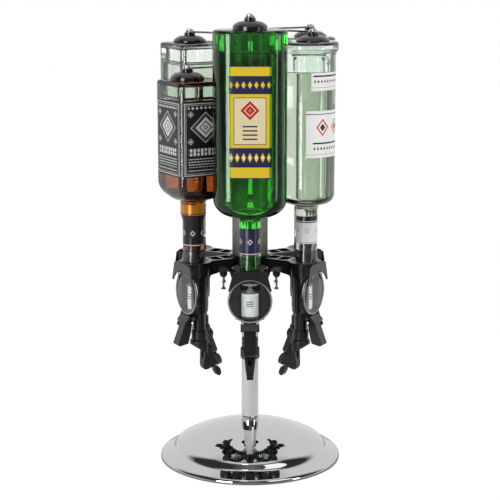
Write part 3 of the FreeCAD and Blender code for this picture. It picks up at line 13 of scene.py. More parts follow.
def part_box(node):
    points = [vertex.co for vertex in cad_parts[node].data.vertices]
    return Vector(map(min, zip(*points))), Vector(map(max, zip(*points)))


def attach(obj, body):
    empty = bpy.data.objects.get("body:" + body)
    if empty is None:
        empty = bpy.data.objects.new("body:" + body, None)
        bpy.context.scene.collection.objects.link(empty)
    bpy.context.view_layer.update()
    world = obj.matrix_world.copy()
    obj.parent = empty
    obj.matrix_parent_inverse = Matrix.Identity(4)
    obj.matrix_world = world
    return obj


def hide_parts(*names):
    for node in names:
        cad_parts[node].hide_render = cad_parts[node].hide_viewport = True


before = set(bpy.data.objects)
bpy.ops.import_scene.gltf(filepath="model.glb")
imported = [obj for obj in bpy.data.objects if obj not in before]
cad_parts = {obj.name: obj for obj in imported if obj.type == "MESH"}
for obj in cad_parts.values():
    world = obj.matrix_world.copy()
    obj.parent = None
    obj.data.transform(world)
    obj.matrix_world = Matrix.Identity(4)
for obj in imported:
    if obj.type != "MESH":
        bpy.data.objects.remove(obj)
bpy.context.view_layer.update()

log = logging.getLogger("dispenser")

MM = 0.001
STATIONS = 6
SHEET_MAP = 400.0
Colour = tuple[float, float, float, float]
Place = tuple[float, float, float]
WHITE: Colour = (1.0, 1.0, 1.0, 1.0)

# Noise patterns, by scale per metre

SMUDGES = 28.0
SINKS = 60.0
PRINTS = 120.0
DUST = 220.0
FIBRES = 2400.0


def tone(text: str) -> Colour:
    """A display colour such as "#a0b0c0" as the linear colour that shaders take."""
    parts = [int(text[i:i + 2], 16) / 255 for i in (1, 3, 5)]
    return (*(p / 12.92 if p <= 0.04045 else ((p + 0.055) / 1.055) ** 2.4 for p in parts), 1.0)


def shaded(colour: Colour, factor: float, lift: float = 0.0) -> Colour:
    """The colour times a factor and raised by a lift, up to white."""
    return (*(min(1.0, part * factor + lift) for part in colour[:3]), 1.0)


# Shader arithmetic and materials


def maths(operation: str, text: str, swapped: bool = False) -> Callable[..., "Val"]:
    """Makes a method of Val that adds a Math node.

    Args:
        operation: the node's operation.
        text: what the method gives, as its docstring.
        swapped: whether the method's own value is the last term.

    Returns:
        The method.
    """

    def method(value: "Val", *others: "Val | float") -> "Val":
        """Adds the node."""
        terms = (*others, value) if swapped else (value, *others)
        return value.board.node("ShaderNodeMath", {"operation": operation}, dict(enumerate(terms)))

    method.__doc__ = text
    return method


class Val:
    """The value of an output socket, which takes part in arithmetic."""

    def __init__(self, board: "Board", socket: bpy.types.NodeSocket) -> None:
        """Wraps a socket of the board's node tree."""
        self.board = board
        self.socket = socket

    __add__ = __radd__ = maths("ADD", "self + other.")
    __mul__ = __rmul__ = maths("MULTIPLY", "self * other.")
    __sub__ = maths("SUBTRACT", "self - other.")
    __rsub__ = maths("SUBTRACT", "other - self.", swapped=True)
    __truediv__ = maths("DIVIDE", "self / other.")
    __gt__ = maths("GREATER_THAN", "1 where self is above other, else 0.")
    __lt__ = maths("LESS_THAN", "1 where self is below other, else 0.")
    __abs__ = maths("ABSOLUTE", "self without its sign.")
    root = maths("SQRT", "Square root.")
    least = maths("MINIMUM", "The smaller of the two.")
    most = maths("MAXIMUM", "The larger of the two.")
    wrap = maths("WRAP", "self brought between a highest and a lowest value by whole repeats.")

    def repeat(self, period: float) -> "Val":
        """Distance from the middle of a repeat of this period, from -period/2 to period/2."""
        return self.wrap(period / 2, -period / 2)

    def within(self, low: float, high: float) -> "Val":
        """1 between low and high, else 0."""
        return (self > low) * (self < high)

    def spread(self, low: float, high: float, first: float = 0.0, last: float = 1.0) -> "Val":
        """self mapped from low..high to first..last, clamped."""
        return self.board.node("ShaderNodeMapRange", {"clamp": True},
                               {0: self, 1: low, 2: high, 3: first, 4: last})


class Board:
    """A node tree while its nodes are laid."""

    def __init__(self, tree: bpy.types.NodeTree) -> None:
        """Works on this tree."""
        self.tree = tree

    def node(self, kind: str, settings: dict[str, object] | None = None,
             inputs: dict[str | int, object] | None = None, output: str | int = 0) -> Val:
        """Adds any node.

        Args:
            kind: the node's type.
            settings: its properties, set before its sockets.
            inputs: values or links of its sockets, by name or number.
            output: the output that is returned.

        Returns:
            The output's value.
        """
        item = self.tree.nodes.new(kind)
        for key, value in (settings or {}).items():
            setattr(item, key, value)
        for key, value in (inputs or {}).items():
            if isinstance(value, Val):
                self.tree.links.new(value.socket, item.inputs[key])
            else:
                item.inputs[key].default_value = value
        return Val(self, item.outputs[output])

    def link(self, value: Val, node: str, socket: str) -> None:
        """Links a value to a socket of a node that the tree has from the start."""
        self.tree.links.new(value.socket, self.tree.nodes[node].inputs[socket])

    def sight(self) -> tuple[Val, Val]:
        """How a light path comes to this point.

        Returns:
            1 where it is seen straight or through glass, and 1 where a mirroring surface shows it.
        """
        straight = self.node("ShaderNodeLightPath", output="Is Camera Ray")
        through = self.node("ShaderNodeLightPath", output="Is Transmission Ray")
        bounced = self.node("ShaderNodeLightPath", output="Glossy Depth") > 0.5
        lit = self.node("ShaderNodeLightPath", output="Diffuse Depth") > 0.5
        return straight.most(through) * (1.0 - bounced), bounced * (1.0 - lit)

    def spot(self, stretch: Place = (1.0, 1.0, 1.0)) -> Val:
        """The point on the piece, in metres, stretched."""
        point = self.node("ShaderNodeTexCoord", output="Object")
        return self.node("ShaderNodeMapping", {"vector_type": "POINT"}, {"Vector": point, "Scale": stretch})

    def parts(self, vector: Val) -> tuple[Val, Val, Val]:
        """The three parts of a vector."""
        split = self.node("ShaderNodeSeparateXYZ", None, {0: vector}).socket.node
        return tuple(Val(self, split.outputs[i]) for i in range(3))

    def sheet(self) -> tuple[Val, Val]:
        """Where the point is on a wrapped sheet: mm sideways from its middle and up from its foot."""
        across, up, _ = self.parts(self.node("ShaderNodeUVMap", {"uv_map": "wrap"}))
        return (across - 0.5) * SHEET_MAP, up * SHEET_MAP

    def noise(self, scale: float, detail: float = 3.0, rough: float = 0.5, at: Val | None = None) -> Val:
        """Cloudy noise from 0 to 1, by scale per metre."""
        return self.node("ShaderNodeTexNoise", {"noise_dimensions": "3D"},
                         {"Vector": at or self.spot(), "Scale": scale, "Detail": detail, "Roughness": rough})

    def blend(self, mask: Val, first: Val | Colour, second: Val | Colour) -> Val:
        """first where the mask is 0 and second where it is 1."""
        return self.node("ShaderNodeMix", {"data_type": "RGBA"}, {0: mask, 6: first, 7: second}, 2)

    def glow(self, strength: Val | float) -> Val:
        """White light of its own."""
        return self.node("ShaderNodeEmission", None, {"Color": WHITE, "Strength": strength})


class Paint(Board):
    """One material while its nodes are laid."""

    def __init__(self, name: str, fixed: dict[str, float | Colour]) -> None:
        """Starts a material.

        Args:
            name: the material's name.
            fixed: what is the same all over, set on the shader's own sockets.
        """
        self.material = bpy.data.materials.new(name)
        self.material.use_nodes = True
        super().__init__(self.material.node_tree)
        self.shader = self.tree.nodes["Principled BSDF"]
        for socket, value in fixed.items():
            self.shader.inputs[socket].default_value = value

    def feed(self, socket: str, value: Val) -> None:
        """Links a value to a socket of the shader."""
        self.tree.links.new(value.socket, self.shader.inputs[socket])

    def dent(self, height: Val, depth: float) -> None:
        """Makes the surface uneven by a height from 0 to 1 times a depth in metres."""
        bump = self.node("ShaderNodeBump", None, {"Strength": 1.0, "Distance": depth, "Height": height})
        self.feed("Normal", bump)


@dataclass(frozen=True)
class Finish:
    """What every finish has: a name and a colour."""

    name: str
    colour: str

    def lay(self) -> Paint:
        """Lays the nodes of this finish."""
        raise NotImplementedError

    def material(self) -> bpy.types.Material:
        """The finish's material, made once."""
        return bpy.data.materials.get(self.name) or self.lay().material


@dataclass(frozen=True)
class Metal(Finish):
    """Bare or plated metal with smudges and fine lines."""

    shine: float = 0.05
    haze: float = 0.05
    lines: Place = (1.0, 1.0, 1.0)
    line_scale: float = 900.0
    line_depth: float = 1e-6
    grit: float = 1.0
    metallic: float = 1.0

    def lay(self) -> Paint:
        """Lets smudges change the roughness and draws fine lines one way.

        Returns:
            The material.
        """
        paint = Paint(self.name, {"Metallic": self.metallic})
        smudge = paint.noise(SMUDGES, 4.0, 0.6)
        lines = paint.noise(self.line_scale, 2.0, 0.6, paint.spot(self.lines))
        uneven = smudge.spread(0.4, 0.75) + (lines - 0.5) * self.grit
        paint.feed("Roughness", self.shine + self.haze * uneven)
        base = tone(self.colour)
        worn = lines.spread(0.3, 0.7) * self.grit * 0.6 + smudge * 0.25
        paint.feed("Base Color", paint.blend(worn, base, shaded(base, 0.86)))
        if self.line_depth:
            paint.dent(lines, self.line_depth)
        return paint


@dataclass(frozen=True)
class Moulded(Finish):
    """Moulded plastic or rubber with a fine skin."""

    gloss: float = 0.3
    grain: float = 1500.0
    grain_depth: float = 8e-6
    coat: float = 0.0

    def lay(self) -> Paint:
        """Lays a fine grain, a gentle sink over large areas, and dust on upward faces.

        Returns:
            The material.
        """
        paint = Paint(self.name, {"Coat Weight": self.coat, "Coat Roughness": 0.12, "IOR": 1.5})
        grain = paint.noise(self.grain, 2.0, 0.6)
        sink = paint.noise(SINKS, 2.0, 0.5)
        up = paint.parts(paint.node("ShaderNodeNewGeometry", output="Normal"))[2]
        dust = up.spread(0.55, 1.0) * paint.noise(DUST, 5.0, 0.7).spread(0.42, 0.8)
        base = tone(self.colour)
        worn = sink.spread(0.35, 0.7) * 0.35 + dust * 0.5
        paint.feed("Base Color", paint.blend(worn, base, shaded(base, 1.3, 0.007)))
        paint.feed("Roughness", self.gloss + (sink - 0.5) * 0.12 + dust * 0.25)
        paint.dent(grain * 0.7 + sink * 0.6, self.grain_depth)
        return paint


@dataclass(frozen=True)
class Clear(Finish):
    """Glass, clear plastic or a drink."""

    index: float = 1.5
    ripple: float = 0.0
    ripple_scale: float = 40.0
    second: str = ""
    mirror: float = 0.5
    side_shade: str = ""
    side_shade_from: float = 0.014
    side_shade_to: float = 0.030

    def lay(self) -> Paint:
        """Lays slow ripples, faint streaks in the tint, fingerprints, and darker narrow ends.

        Returns:
            The material.
        """
        paint = Paint(self.name, {"Transmission Weight": 1.0, "IOR": self.index,
                                  "Specular IOR Level": self.mirror})
        slow = paint.noise(self.ripple_scale, 2.0, 0.45, paint.spot((1.0, 1.0, 0.45)))
        base = tone(self.colour)
        other = tone(self.second) if self.second else shaded(base, 0.93)
        tint = paint.blend(slow.spread(0.3, 0.7), base, other)
        # Painted shade: the tint darkens sideways away from the middle, so the narrow sides look shaded.
        if self.side_shade:
            across = abs(paint.parts(paint.spot())[0])
            tint = paint.blend(across.spread(self.side_shade_from, self.side_shade_to), tint, tone(self.side_shade))
        paint.feed("Base Color", tint)
        paint.feed("Roughness", 0.03 * paint.noise(PRINTS, 4.0, 0.6).spread(0.55, 0.8))
        if self.ripple:
            paint.dent(slow, self.ripple)
        return paint


# Printed designs, in millimetres on the sheet


def lozenge(across: Val, up: Val, width: float, height: float) -> Val:
    """1 inside a diamond about the origin."""
    return (abs(across) / (width / 2) + abs(up) / (height / 2)) < 1.0


def frame_line(across: Val, up: Val, half_width: float, low: float, high: float, thick: float) -> Val:
    """1 on a rectangular line."""
    core = (abs(across) < half_width - thick) * up.within(low + thick, high - thick)
    return (abs(across) < half_width) * up.within(low, high) - core


class Sheet:
    """A printed sheet while its design is laid on its ground."""

    def __init__(self, paint: Paint, ground: Val, inks: Sequence[str]) -> None:
        """Starts with the bare ground.

        Args:
            paint: the sheet's material.
            ground: the paper's own colour.
            inks: the colours of its inks.
        """
        self.paint = paint
        self.ground = self.colour = ground
        self.inks = [tone(ink) for ink in inks]
        self.across, self.up = paint.sheet()

    def lay(self, mask: Val, ink: Val | Colour) -> None:
        """Prints an ink where the mask is 1."""
        self.colour = self.paint.blend(mask, self.colour, ink)


def harvest_print(sheet: Sheet) -> None:
    """The flask's front: a yellow sheet with two navy panels, a red diamond and gold lattice.

    Args:
        sheet: the sheet that it is printed on.
    """
    navy, red, gold, pale = sheet.inks
    across, up = sheet.across, sheet.up
    panel = (up.within(14.0, 38.0) + up.within(104.0, 126.0)).least(1.0)
    lattice = (abs((across + up).repeat(5.0)) < 0.35).most(abs((across - up).repeat(5.0)) < 0.35)
    middle = (abs(across) < 20.0) * up.within(42.0, 100.0)
    sheet.lay(middle * 0.8, pale)
    sheet.lay(middle * lattice * 0.5, gold)
    sheet.lay(frame_line(across, up, 20.0, 42.0, 100.0, 0.8), navy)
    sheet.lay(panel, navy)
    row = across.repeat(7.8)
    chain = lozenge(row, up - 26.0, 6.0, 12.0)
    chain_core = lozenge(row, up - 26.0, 3.2, 6.4)
    upper = lozenge(row, up - 115.0, 5.6, 9.0)
    sheet.lay((chain - chain_core + upper).least(1.0) * panel, sheet.ground)
    sheet.lay(chain_core * panel, pale)
    for width, ink in ((27.0, pale), (24.0, red), (15.0, pale), (12.6, red), (5.0, gold)):
        sheet.lay(lozenge(across, up - 84.0, width, width), ink)
    bars = (abs(across) < 9.0) * (abs((up - 54.0).repeat(5.2)) < 0.9) * up.within(48.0, 66.0)
    sheet.lay(bars + frame_line(across, up, 40.0, 0.0, 138.1, 1.0) + (abs(across) > 26.6), navy)


def midnight_print(sheet: Sheet) -> None:
    """The short square bottle's wrap: on each side a double frame, diamonds, bars, dashes and beads.

    Args:
        sheet: the sheet that it is printed on.
    """
    white, grey = sheet.inks
    black, up = sheet.ground, sheet.up
    side = sheet.across.repeat(65.4)
    for low, high, inset, thick in ((2.0, 92.6, 29.6, 0.9), (4.4, 90.2, 27.6, 0.45)):
        sheet.lay(frame_line(side, up, inset, low, high, thick), white)
    for width, ink in ((43.0, white), (40.6, black), (37.0, grey), (35.4, black), (29.0, white),
                       (19.0, black), (15.0, white), (7.0, black), (4.0, white)):
        sheet.lay(lozenge(side, up - 62.0, width, width * 0.92), ink)
    corner = abs(abs(side) - 21.0) + abs(abs(up - 62.0) - 17.0)
    sheet.lay((corner.within(3.4, 4.2) + (corner < 1.8)).least(1.0), white)
    bars = (abs(side.repeat(5.2)) < 1.7) * up.within(27.0, 36.0)
    notch = (abs(side.repeat(10.4)) < 3.2) * up.within(30.6, 32.0)
    slant = abs((side + up * 1.7).repeat(4.6)) < 1.7
    dashes = (abs((up - 16.0).repeat(3.4)) < 0.6) * slant * up.within(12.4, 24.6)
    bead = side.repeat(3.0)
    beads = (bead * bead + (up - 8.4) * (up - 8.4)).root() < 0.9
    top = lozenge(side.repeat(6.0), up - 86.6, 4.4, 4.0)
    sheet.lay((bars - bars * notch + dashes + beads + top).least(1.0) * (abs(side) < 24.4), white)


def linen_print(sheet: Sheet) -> None:
    """A white label with a black bar over a row of small diamonds, and two red diamonds set with black.

    Args:
        sheet: the sheet that it is printed on.
    """
    black, tan, red = sheet.inks
    across, up = sheet.across, sheet.up
    sheet.lay(up.within(17.2, 19.2) * (abs(across) < 25.0), black)
    sheet.lay(lozenge(across.repeat(4.6), up - 11.5, 2.8, 4.6) * (abs(across) < 24.0), black)
    sheet.lay(abs(up - 4.0) < 0.4, tan)
    for width, ink in ((18.0, red), (13.0, sheet.ground), (8.0, black)):
        sheet.lay(lozenge(abs(across) - 12.0, up - 38.0, width, width * 1.25), ink)
    sheet.lay(abs(up - 54.6) < 0.5, black)


def gauge_print(sheet: Sheet) -> None:
    """A measure's sleeve: bright edges and three dark level marks.

    Args:
        sheet: the sheet that it is printed on.
    """
    bright, dark = sheet.inks
    across, up = sheet.across, sheet.up
    # Painted highlight: a lighter stripe on each side of the front stands for the shine on the sleeve's
    # edges.
    sheet.lay(abs(across).within(8.2, 9.6), bright)
    sheet.lay((abs(across) < 4.6) * (abs((up - 16.4).repeat(2.6)) < 0.55) * up.within(12.6, 20.2), dark)


def band_print(sheet: Sheet) -> None:
    """A neck sleeve: a band near its lower edge and a row of small diamonds.

    Args:
        sheet: the sheet that it is printed on.
    """
    light, other = sheet.inks
    row = sheet.across.repeat(14.2)
    sheet.lay(sheet.up.within(1.0, 2.2), light)
    sheet.lay(lozenge(row, sheet.up - 17.0, 7.0, 8.0), light)
    sheet.lay(lozenge(row, sheet.up - 17.0, 3.6, 4.2), other)


@dataclass(frozen=True)
class Paper(Finish):
    """Printed paper or foil: a ground with printed fields over it."""

    inks: tuple[str, ...]
    design: Callable[[Sheet], None]
    gloss: float = 0.45
    foil: float = 0.0
    glow: float = 0.0

    def lay(self) -> Paint:
        """Prints the design on the wrapped sheet, with the paper's fibres below it.

        Returns:
            The material.
        """
        paint = Paint(self.name, {"Metallic": self.foil, "Coat Weight": 0.25, "Coat Roughness": 0.2,
                                  "Emission Strength": self.glow})
        fibre = paint.noise(FIBRES, 3.0, 0.7)
        base = tone(self.colour)
        sheet = Sheet(paint, paint.blend(fibre.spread(0.3, 0.8) * 0.25, base, shaded(base, 0.85)), self.inks)
        self.design(sheet)
        paint.feed("Base Color", sheet.colour)
        # Painted light: the printed colour also gives off light, so the sheet looks brighter than the lamps
        # make it.
        if self.glow:
            paint.feed("Emission Color", sheet.colour)
        paint.feed("Roughness", self.gloss + (fibre - 0.5) * 0.2)
        paint.dent(fibre, 1.2e-5)
        return paint


class Finishes(Enum):
    """The dispenser's finishes."""

    CHROME = Metal("chrome plate", "#d3d4d6", shine=0.02, haze=0.03, line_scale=90.0, line_depth=0.0,
                   grit=0.15)
    POLE = Metal("satin pole", "#f8f8f8", shine=0.22, haze=0.06, lines=(1.0, 1.0, 0.03), line_scale=1800.0,
                 line_depth=2e-6, grit=0.5, metallic=0.25)
    COLUMN = Metal("anodised column", "#83847c", shine=0.3, haze=0.12, lines=(1.0, 1.0, 0.02),
                   line_scale=2200.0, line_depth=4e-6)
    STEEL = Metal("zinc steel", "#b5b6b4", shine=0.22, haze=0.15, line_scale=1400.0, line_depth=2e-6)
    BRIGHT = Metal("bright screws", "#d2d4d6", shine=0.08, haze=0.1, line_scale=1400.0, line_depth=1e-6)
    IRON = Metal("cast iron", "#4a4a4c", shine=0.55, haze=0.3, line_scale=500.0, line_depth=6e-5)
    FOAM = Moulded("foam pad", "#242424", gloss=0.9, grain=900.0, grain_depth=1.5e-4)
    NYLON = Moulded("nylon washer", "#e6e4dc", gloss=0.42, grain=1200.0)
    BLACK = Moulded("black moulding", "#1a1a1b", gloss=0.22, grain=1700.0, grain_depth=5e-6, coat=0.15)
    DARK = Moulded("satin moulding", "#212223", gloss=0.34, grain=1300.0, grain_depth=1e-5)
    SILVER = Moulded("silver plastic", "#b4b7bb", gloss=0.3, grain=1500.0, coat=0.3)
    GLOSS = Moulded("gloss moulding", "#131313", gloss=0.12, grain=700.0, grain_depth=6e-6, coat=0.5)
    RUBBER = Moulded("cup rubber", "#0a0a0b", gloss=0.2, grain=500.0, grain_depth=3e-6, coat=0.3)
    # Painted highlight: an opaque light grey ring where the clear lens's edge shows light.
    RIM = Moulded("lens rim", "#9ea2a5", gloss=0.12, grain=900.0, grain_depth=3e-6, coat=0.4)
    LENS = Clear("clear lens", "#fcfdfd", index=1.28, ripple=1e-5, ripple_scale=30.0, mirror=0.15)
    # Painted shade: the green glass and the herbal spirit darken towards the flask's narrow sides.
    GREEN = Clear("green glass", "#9efc96", ripple=4e-4, ripple_scale=38.0, second="#8cf48a", side_shade="#7ed078")
    PALE = Clear("clear glass", "#fcfffc", ripple=2.5e-4, ripple_scale=45.0, second="#f5fcf6")
    WATER = Clear("clear spirit", "#e2e7dc", index=1.36)
    TONIC = Clear("herbal spirit", "#f2ffea", index=1.36, side_shade="#3c4a3a")
    AMBER = Clear("amber spirit", "#e27236", index=1.36, second="#bf4c22")
    # Painted light: the silver sleeve glows, to look as brightly lit as it would be without the lens in the
    # way.
    GAUGE = Paper("silver sleeve", "#f2f3f4", ("#f4f5f6", "#26272a"), gauge_print, gloss=0.4, glow=0.4)
    HARVEST = Paper("yellow label", "#f2cf22", ("#1d2350", "#c8202c", "#b98a1e", "#fbf3d0"), harvest_print)
    MIDNIGHT = Paper("black label", "#101012", ("#e9e9e6", "#8f8f8c"), midnight_print, gloss=0.5)
    # Painted light: the white labels glow a little.
    LINEN = Paper("white label", "#f3f3f0", ("#1c1c1c", "#c9a37c", "#d8402a"), linen_print, glow=0.15)
    NAVY = Paper("navy sleeve", "#1b2046", ("#e9c8cf", "#1b2046"), band_print, gloss=0.3)
    JET = Paper("black sleeve", "#0f0f10", ("#d9d9d6", "#0f0f10"), band_print, gloss=0.28)
    # Painted light: the white sleeves glow a little.
    MILK = Paper("white sleeve", "#e9eaec", ("#b9bcc2", "#f4f4f4"), band_print, gloss=0.34, glow=0.12)
    AMBERBAND = Paper("orange band", "#d98a1f", ("#5a2e12", "#f0c060"), band_print, gloss=0.3, foil=0.3)


# Shaping by operators


class Kind(Enum):
    """What is picked in edit mode."""

    VERT = "VERT"
    EDGE = "EDGE"
    FACE = "FACE"


class Piece:
    """A new piece while operators shape it. Lengths are in millimetres, heights above the table."""

    def __init__(self, name: str, start: Callable[..., object], at: Place = (0.0, 0.0, 0.0),
                 **size: object) -> None:
        """Adds the primitive that the piece starts from and enters edit mode.

        Args:
            name: the piece's name.
            start: the operator that adds the primitive.
            at: where the primitive's middle is.
            size: the operator's own settings.
        """
        bpy.ops.object.select_all(action="DESELECT")
        start(location=tuple(c * MM for c in at), **size)
        self.item = bpy.context.active_object
        self.item.name = self.item.data.name = name
        bpy.ops.object.transform_apply(location=True, rotation=True, scale=True)
        self.edit()
        bpy.ops.mesh.select_all(action="SELECT")

    def edit(self) -> "Piece":
        """Enters edit mode."""
        bpy.ops.object.mode_set(mode="EDIT")
        return self

    def leave(self) -> "Piece":
        """Leaves edit mode."""
        bpy.ops.object.mode_set(mode="OBJECT")
        return self

    def pick(self, kind: Kind, test: Callable[[Vector, Vector], bool]) -> "Piece":
        """Selects what passes a test of its middle, in millimetres, and its normal or direction.

        Args:
            kind: vertices, edges or faces.
            test: says whether one with this middle and normal is picked.

        Returns:
            The piece.
        """
        bpy.ops.mesh.select_mode(type=kind.value)
        bpy.ops.mesh.select_all(action="DESELECT")
        mesh = bmesh.from_edit_mesh(self.item.data)
        for part in {Kind.VERT: mesh.verts, Kind.EDGE: mesh.edges, Kind.FACE: mesh.faces}[kind]:
            if kind is Kind.VERT:
                middle, way = part.co, part.normal
            elif kind is Kind.EDGE:
                middle, way = (part.verts[0].co + part.verts[1].co) / 2, part.verts[1].co - part.verts[0].co
            else:
                middle, way = part.calc_center_median(), part.normal
            part.select_set(test(middle / MM, way))
        mesh.select_flush_mode()
        bmesh.update_edit_mesh(self.item.data)
        return self

    def pick_level(self, kind: Kind, height: float) -> "Piece":
        """Selects what lies at a height."""
        return self.pick(kind, lambda middle, way: abs(middle.z - height) < 0.01)

    def spans(self) -> tuple[Vector, Vector]:
        """Lowest and highest corners of what is picked, in millimetres.

        Returns:
            The two corners.
        """
        mesh = bmesh.from_edit_mesh(self.item.data)
        points = [v.co / MM for v in mesh.verts if v.select]
        return (Vector([min(p[i] for p in points) for i in range(3)]),
                Vector([max(p[i] for p in points) for i in range(3)]))

    def extrude(self, by: Place) -> "Piece":
        """Extrudes what is picked."""
        bpy.ops.mesh.extrude_region_move(TRANSFORM_OT_translate={"value": tuple(c * MM for c in by)})
        return self

    def inset(self, thickness: float) -> "Piece":
        """Insets the picked face."""
        bpy.ops.mesh.inset(thickness=thickness * MM, depth=0.0)
        return self

    def lift(self, height: float) -> "Piece":
        """Moves what is picked upwards."""
        bpy.ops.transform.translate(value=(0.0, 0.0, height * MM))
        return self

    def resize(self, half_x: float, half_y: float, height: float) -> "Piece":
        """Gives what is picked another width and depth about the upright axis.

        Args:
            half_x: half its width.
            half_y: half its depth.
            height: the height about which it is scaled.

        Returns:
            The piece.
        """
        low, high = self.spans()
        factors = (2 * half_x / (high.x - low.x), 2 * half_y / (high.y - low.y), 1.0)
        bpy.ops.transform.resize(value=factors, center_override=(0.0, 0.0, height * MM))
        return self

    def ring(self, height: float, half_x: float, half_y: float | None = None,
             rounder: float = 0.0) -> "Piece":
        """Extrudes the picked ring to another height and size about the upright axis.

        Args:
            height: the new ring's height.
            half_x: half its width.
            half_y: half its depth, where it isn't as wide as deep.
            rounder: how far its outline goes from what it is to a circle.

        Returns:
            The piece.
        """
        low, _ = self.spans()
        self.extrude((0.0, 0.0, height - low.z))
        if rounder > 0:
            bpy.ops.transform.tosphere(value=rounder)
        return self.resize(half_x, half_x if half_y is None else half_y, height)

    def face_ring(self, height: float, radius: float) -> "Piece":
        """Insets the picked level face and makes its new edge a circle about the upright axis.

        Args:
            height: the edge's height.
            radius: the edge's radius.

        Returns:
            The piece.
        """
        self.inset(0.2)
        bpy.ops.transform.tosphere(value=1.0)
        low, _ = self.spans()
        return self.resize(radius, radius, low.z).lift(height - low.z)

    def fill(self) -> "Piece":
        """Closes the picked ring with a face."""
        bpy.ops.mesh.edge_face_add()
        return self

    def clean(self, distance: float = 0.001) -> "Piece":
        """Merges doubles and turns the normals outwards.

        Args:
            distance: points nearer than this are doubles.

        Returns:
            The piece.
        """
        bpy.ops.mesh.select_all(action="SELECT")
        bpy.ops.mesh.remove_doubles(threshold=distance * MM)
        bpy.ops.mesh.normals_make_consistent(inside=False)
        return self

    def modify(self, kind: str, **settings: object) -> "Piece":
        """Adds a modifier and applies it.

        Args:
            kind: the modifier's type.
            settings: its settings.

        Returns:
            The piece.
        """
        modifier = self.item.modifiers.new(kind, kind)
        for key, value in settings.items():
            setattr(modifier, key, value)
        bpy.ops.object.modifier_apply(modifier=modifier.name)
        return self

    def turned(self, degrees: float, by: Place = (0.0, 0.0, 0.0)) -> "Piece":
        """Turns the whole piece about the upright axis, then moves it."""
        turn = Matrix.Rotation(math.radians(degrees), 4, "Z")
        self.item.data.transform(Matrix.Translation(Vector(by) * MM) @ turn)
        return self

    def to_station(self, station: int, circle: float = 0.0) -> "Piece":
        """Turns a piece that faces the front to a station, and moves it out to a circle.

        Args:
            station: the station, from 1 at the front.
            circle: the circle's radius.

        Returns:
            The piece.
        """
        facing = 360.0 / STATIONS * (station - 1)
        bearing = math.radians(facing - 90)
        return self.turned(facing, (circle * math.cos(bearing), circle * math.sin(bearing), 0.0))

    def dressed(self, finish: Finishes, body: str, slot: str, stands_for: Sequence[str] = (),
                crease: float = 35.0) -> bpy.types.Object:
        """Ends the shaping and gives the piece its finish and its body.

        Args:
            finish: its finish.
            body: the CAD body that it moves with.
            slot: the record's material slot.
            stands_for: CAD nodes that it replaces.
            crease: edges sharper than this stay sharp.

        Returns:
            The finished object.
        """
        bpy.ops.object.select_all(action="DESELECT")
        self.item.select_set(True)
        bpy.context.view_layer.objects.active = self.item
        bpy.ops.object.shade_smooth_by_angle(angle=math.radians(crease))
        self.item.data.materials.clear()
        self.item.data.materials.append(finish.value.material())
        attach(self.item, body)
        if stands_for:
            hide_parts(*stands_for)
        return self.item


def hoop(name: str, rings: Sequence[tuple[float, float]], segments: int) -> Piece:
    """A closed hoop round the upright axis, by extruding a circle through rings and back to the first.

    Args:
        name: the piece's name.
        rings: radius and height of each ring.
        segments: sides of each ring.

    Returns:
        The piece, out of edit mode.
    """
    radius, height = rings[0]
    piece = Piece(name, bpy.ops.mesh.primitive_circle_add, at=(0.0, 0.0, height), radius=radius * MM,
                  vertices=segments)
    for radius, height in (*rings[1:], rings[0]):
        piece.ring(height, radius)
    return piece.clean(0.01).leave()


def wrap_sheet(item: bpy.types.Object, turn: float, foot: float) -> None:
    """Gives a sheet that is wrapped round the upright axis its own map: arc length and height.

    Args:
        item: the sheet.
        turn: the direction that its middle faces, in degrees from the front.
        foot: height of its lower edge.
    """
    mesh = item.data
    layer = mesh.uv_layers.new(name="wrap")
    facing = math.radians(turn - 90)

    def bearing(point: Vector) -> float:
        """Angle of a point from the sheet's middle, from -pi to pi."""
        return (math.atan2(point.y, point.x) - facing + math.pi) % math.tau - math.pi

    feet = [v.co / MM for v in mesh.vertices if v.co.z / MM < foot + 0.01]
    outer = {round(bearing(point), 3): point.xy for point in sorted(feet, key=lambda p: p.xy.length)}
    ring = sorted(outer.items())
    angles = [angle for angle, _ in ring]
    arcs = [0.0]
    for (_, first), (_, second) in zip(ring, ring[1:]):
        arcs.append(arcs[-1] + (second - first).length)
    lap = arcs[-1] + (ring[0][1] - ring[-1][1]).length

    def along(angle: float) -> float:
        """Arc length from the ring's first point to an angle.

        Args:
            angle: the angle.

        Returns:
            The length.
        """
        for index in range(1, len(angles)):
            if angle <= angles[index]:
                share = (angle - angles[index - 1]) / (angles[index] - angles[index - 1])
                return arcs[index - 1] + share * (arcs[index] - arcs[index - 1])
        return arcs[-1]

    middle = along(0.0)
    for polygon in mesh.polygons:
        base = bearing(polygon.center / MM)
        for loop in polygon.loop_indices:
            point = mesh.vertices[mesh.loops[loop].vertex_index].co / MM
            angle = base + (bearing(point) - base + math.pi) % math.tau - math.pi
            laps = math.floor((angle + math.pi) / math.tau)
            arc = along(angle - laps * math.tau) + laps * lap
            layer.data[loop].uv = ((arc - middle) / SHEET_MAP + 0.5, (point.z - foot) / SHEET_MAP)


# Bottles


@dataclass
class Outline:
    """A bottle's level section: a rectangle with round corners, or a circle."""

    half_x: float
    half_y: float
    corner: float

    @property
    def is_round(self) -> bool:
        """Whether it is a circle."""
        return self.half_x == self.half_y and self.corner > self.half_x - 1.0

    def inset(self, depth: float) -> "Outline":
        """The same outline, smaller all round."""
        return Outline(self.half_x - depth, self.half_y - depth, max(self.corner - depth, 0.5))


@dataclass
class Wrap:
    """A sheet of paper or foil round a bottle."""

    name: str
    low: float
    high: float
    finish: Finishes
    reach: float = 0.0
    facing: float = 0.0
    proud: float = 0.12
    thick: float = 0.1


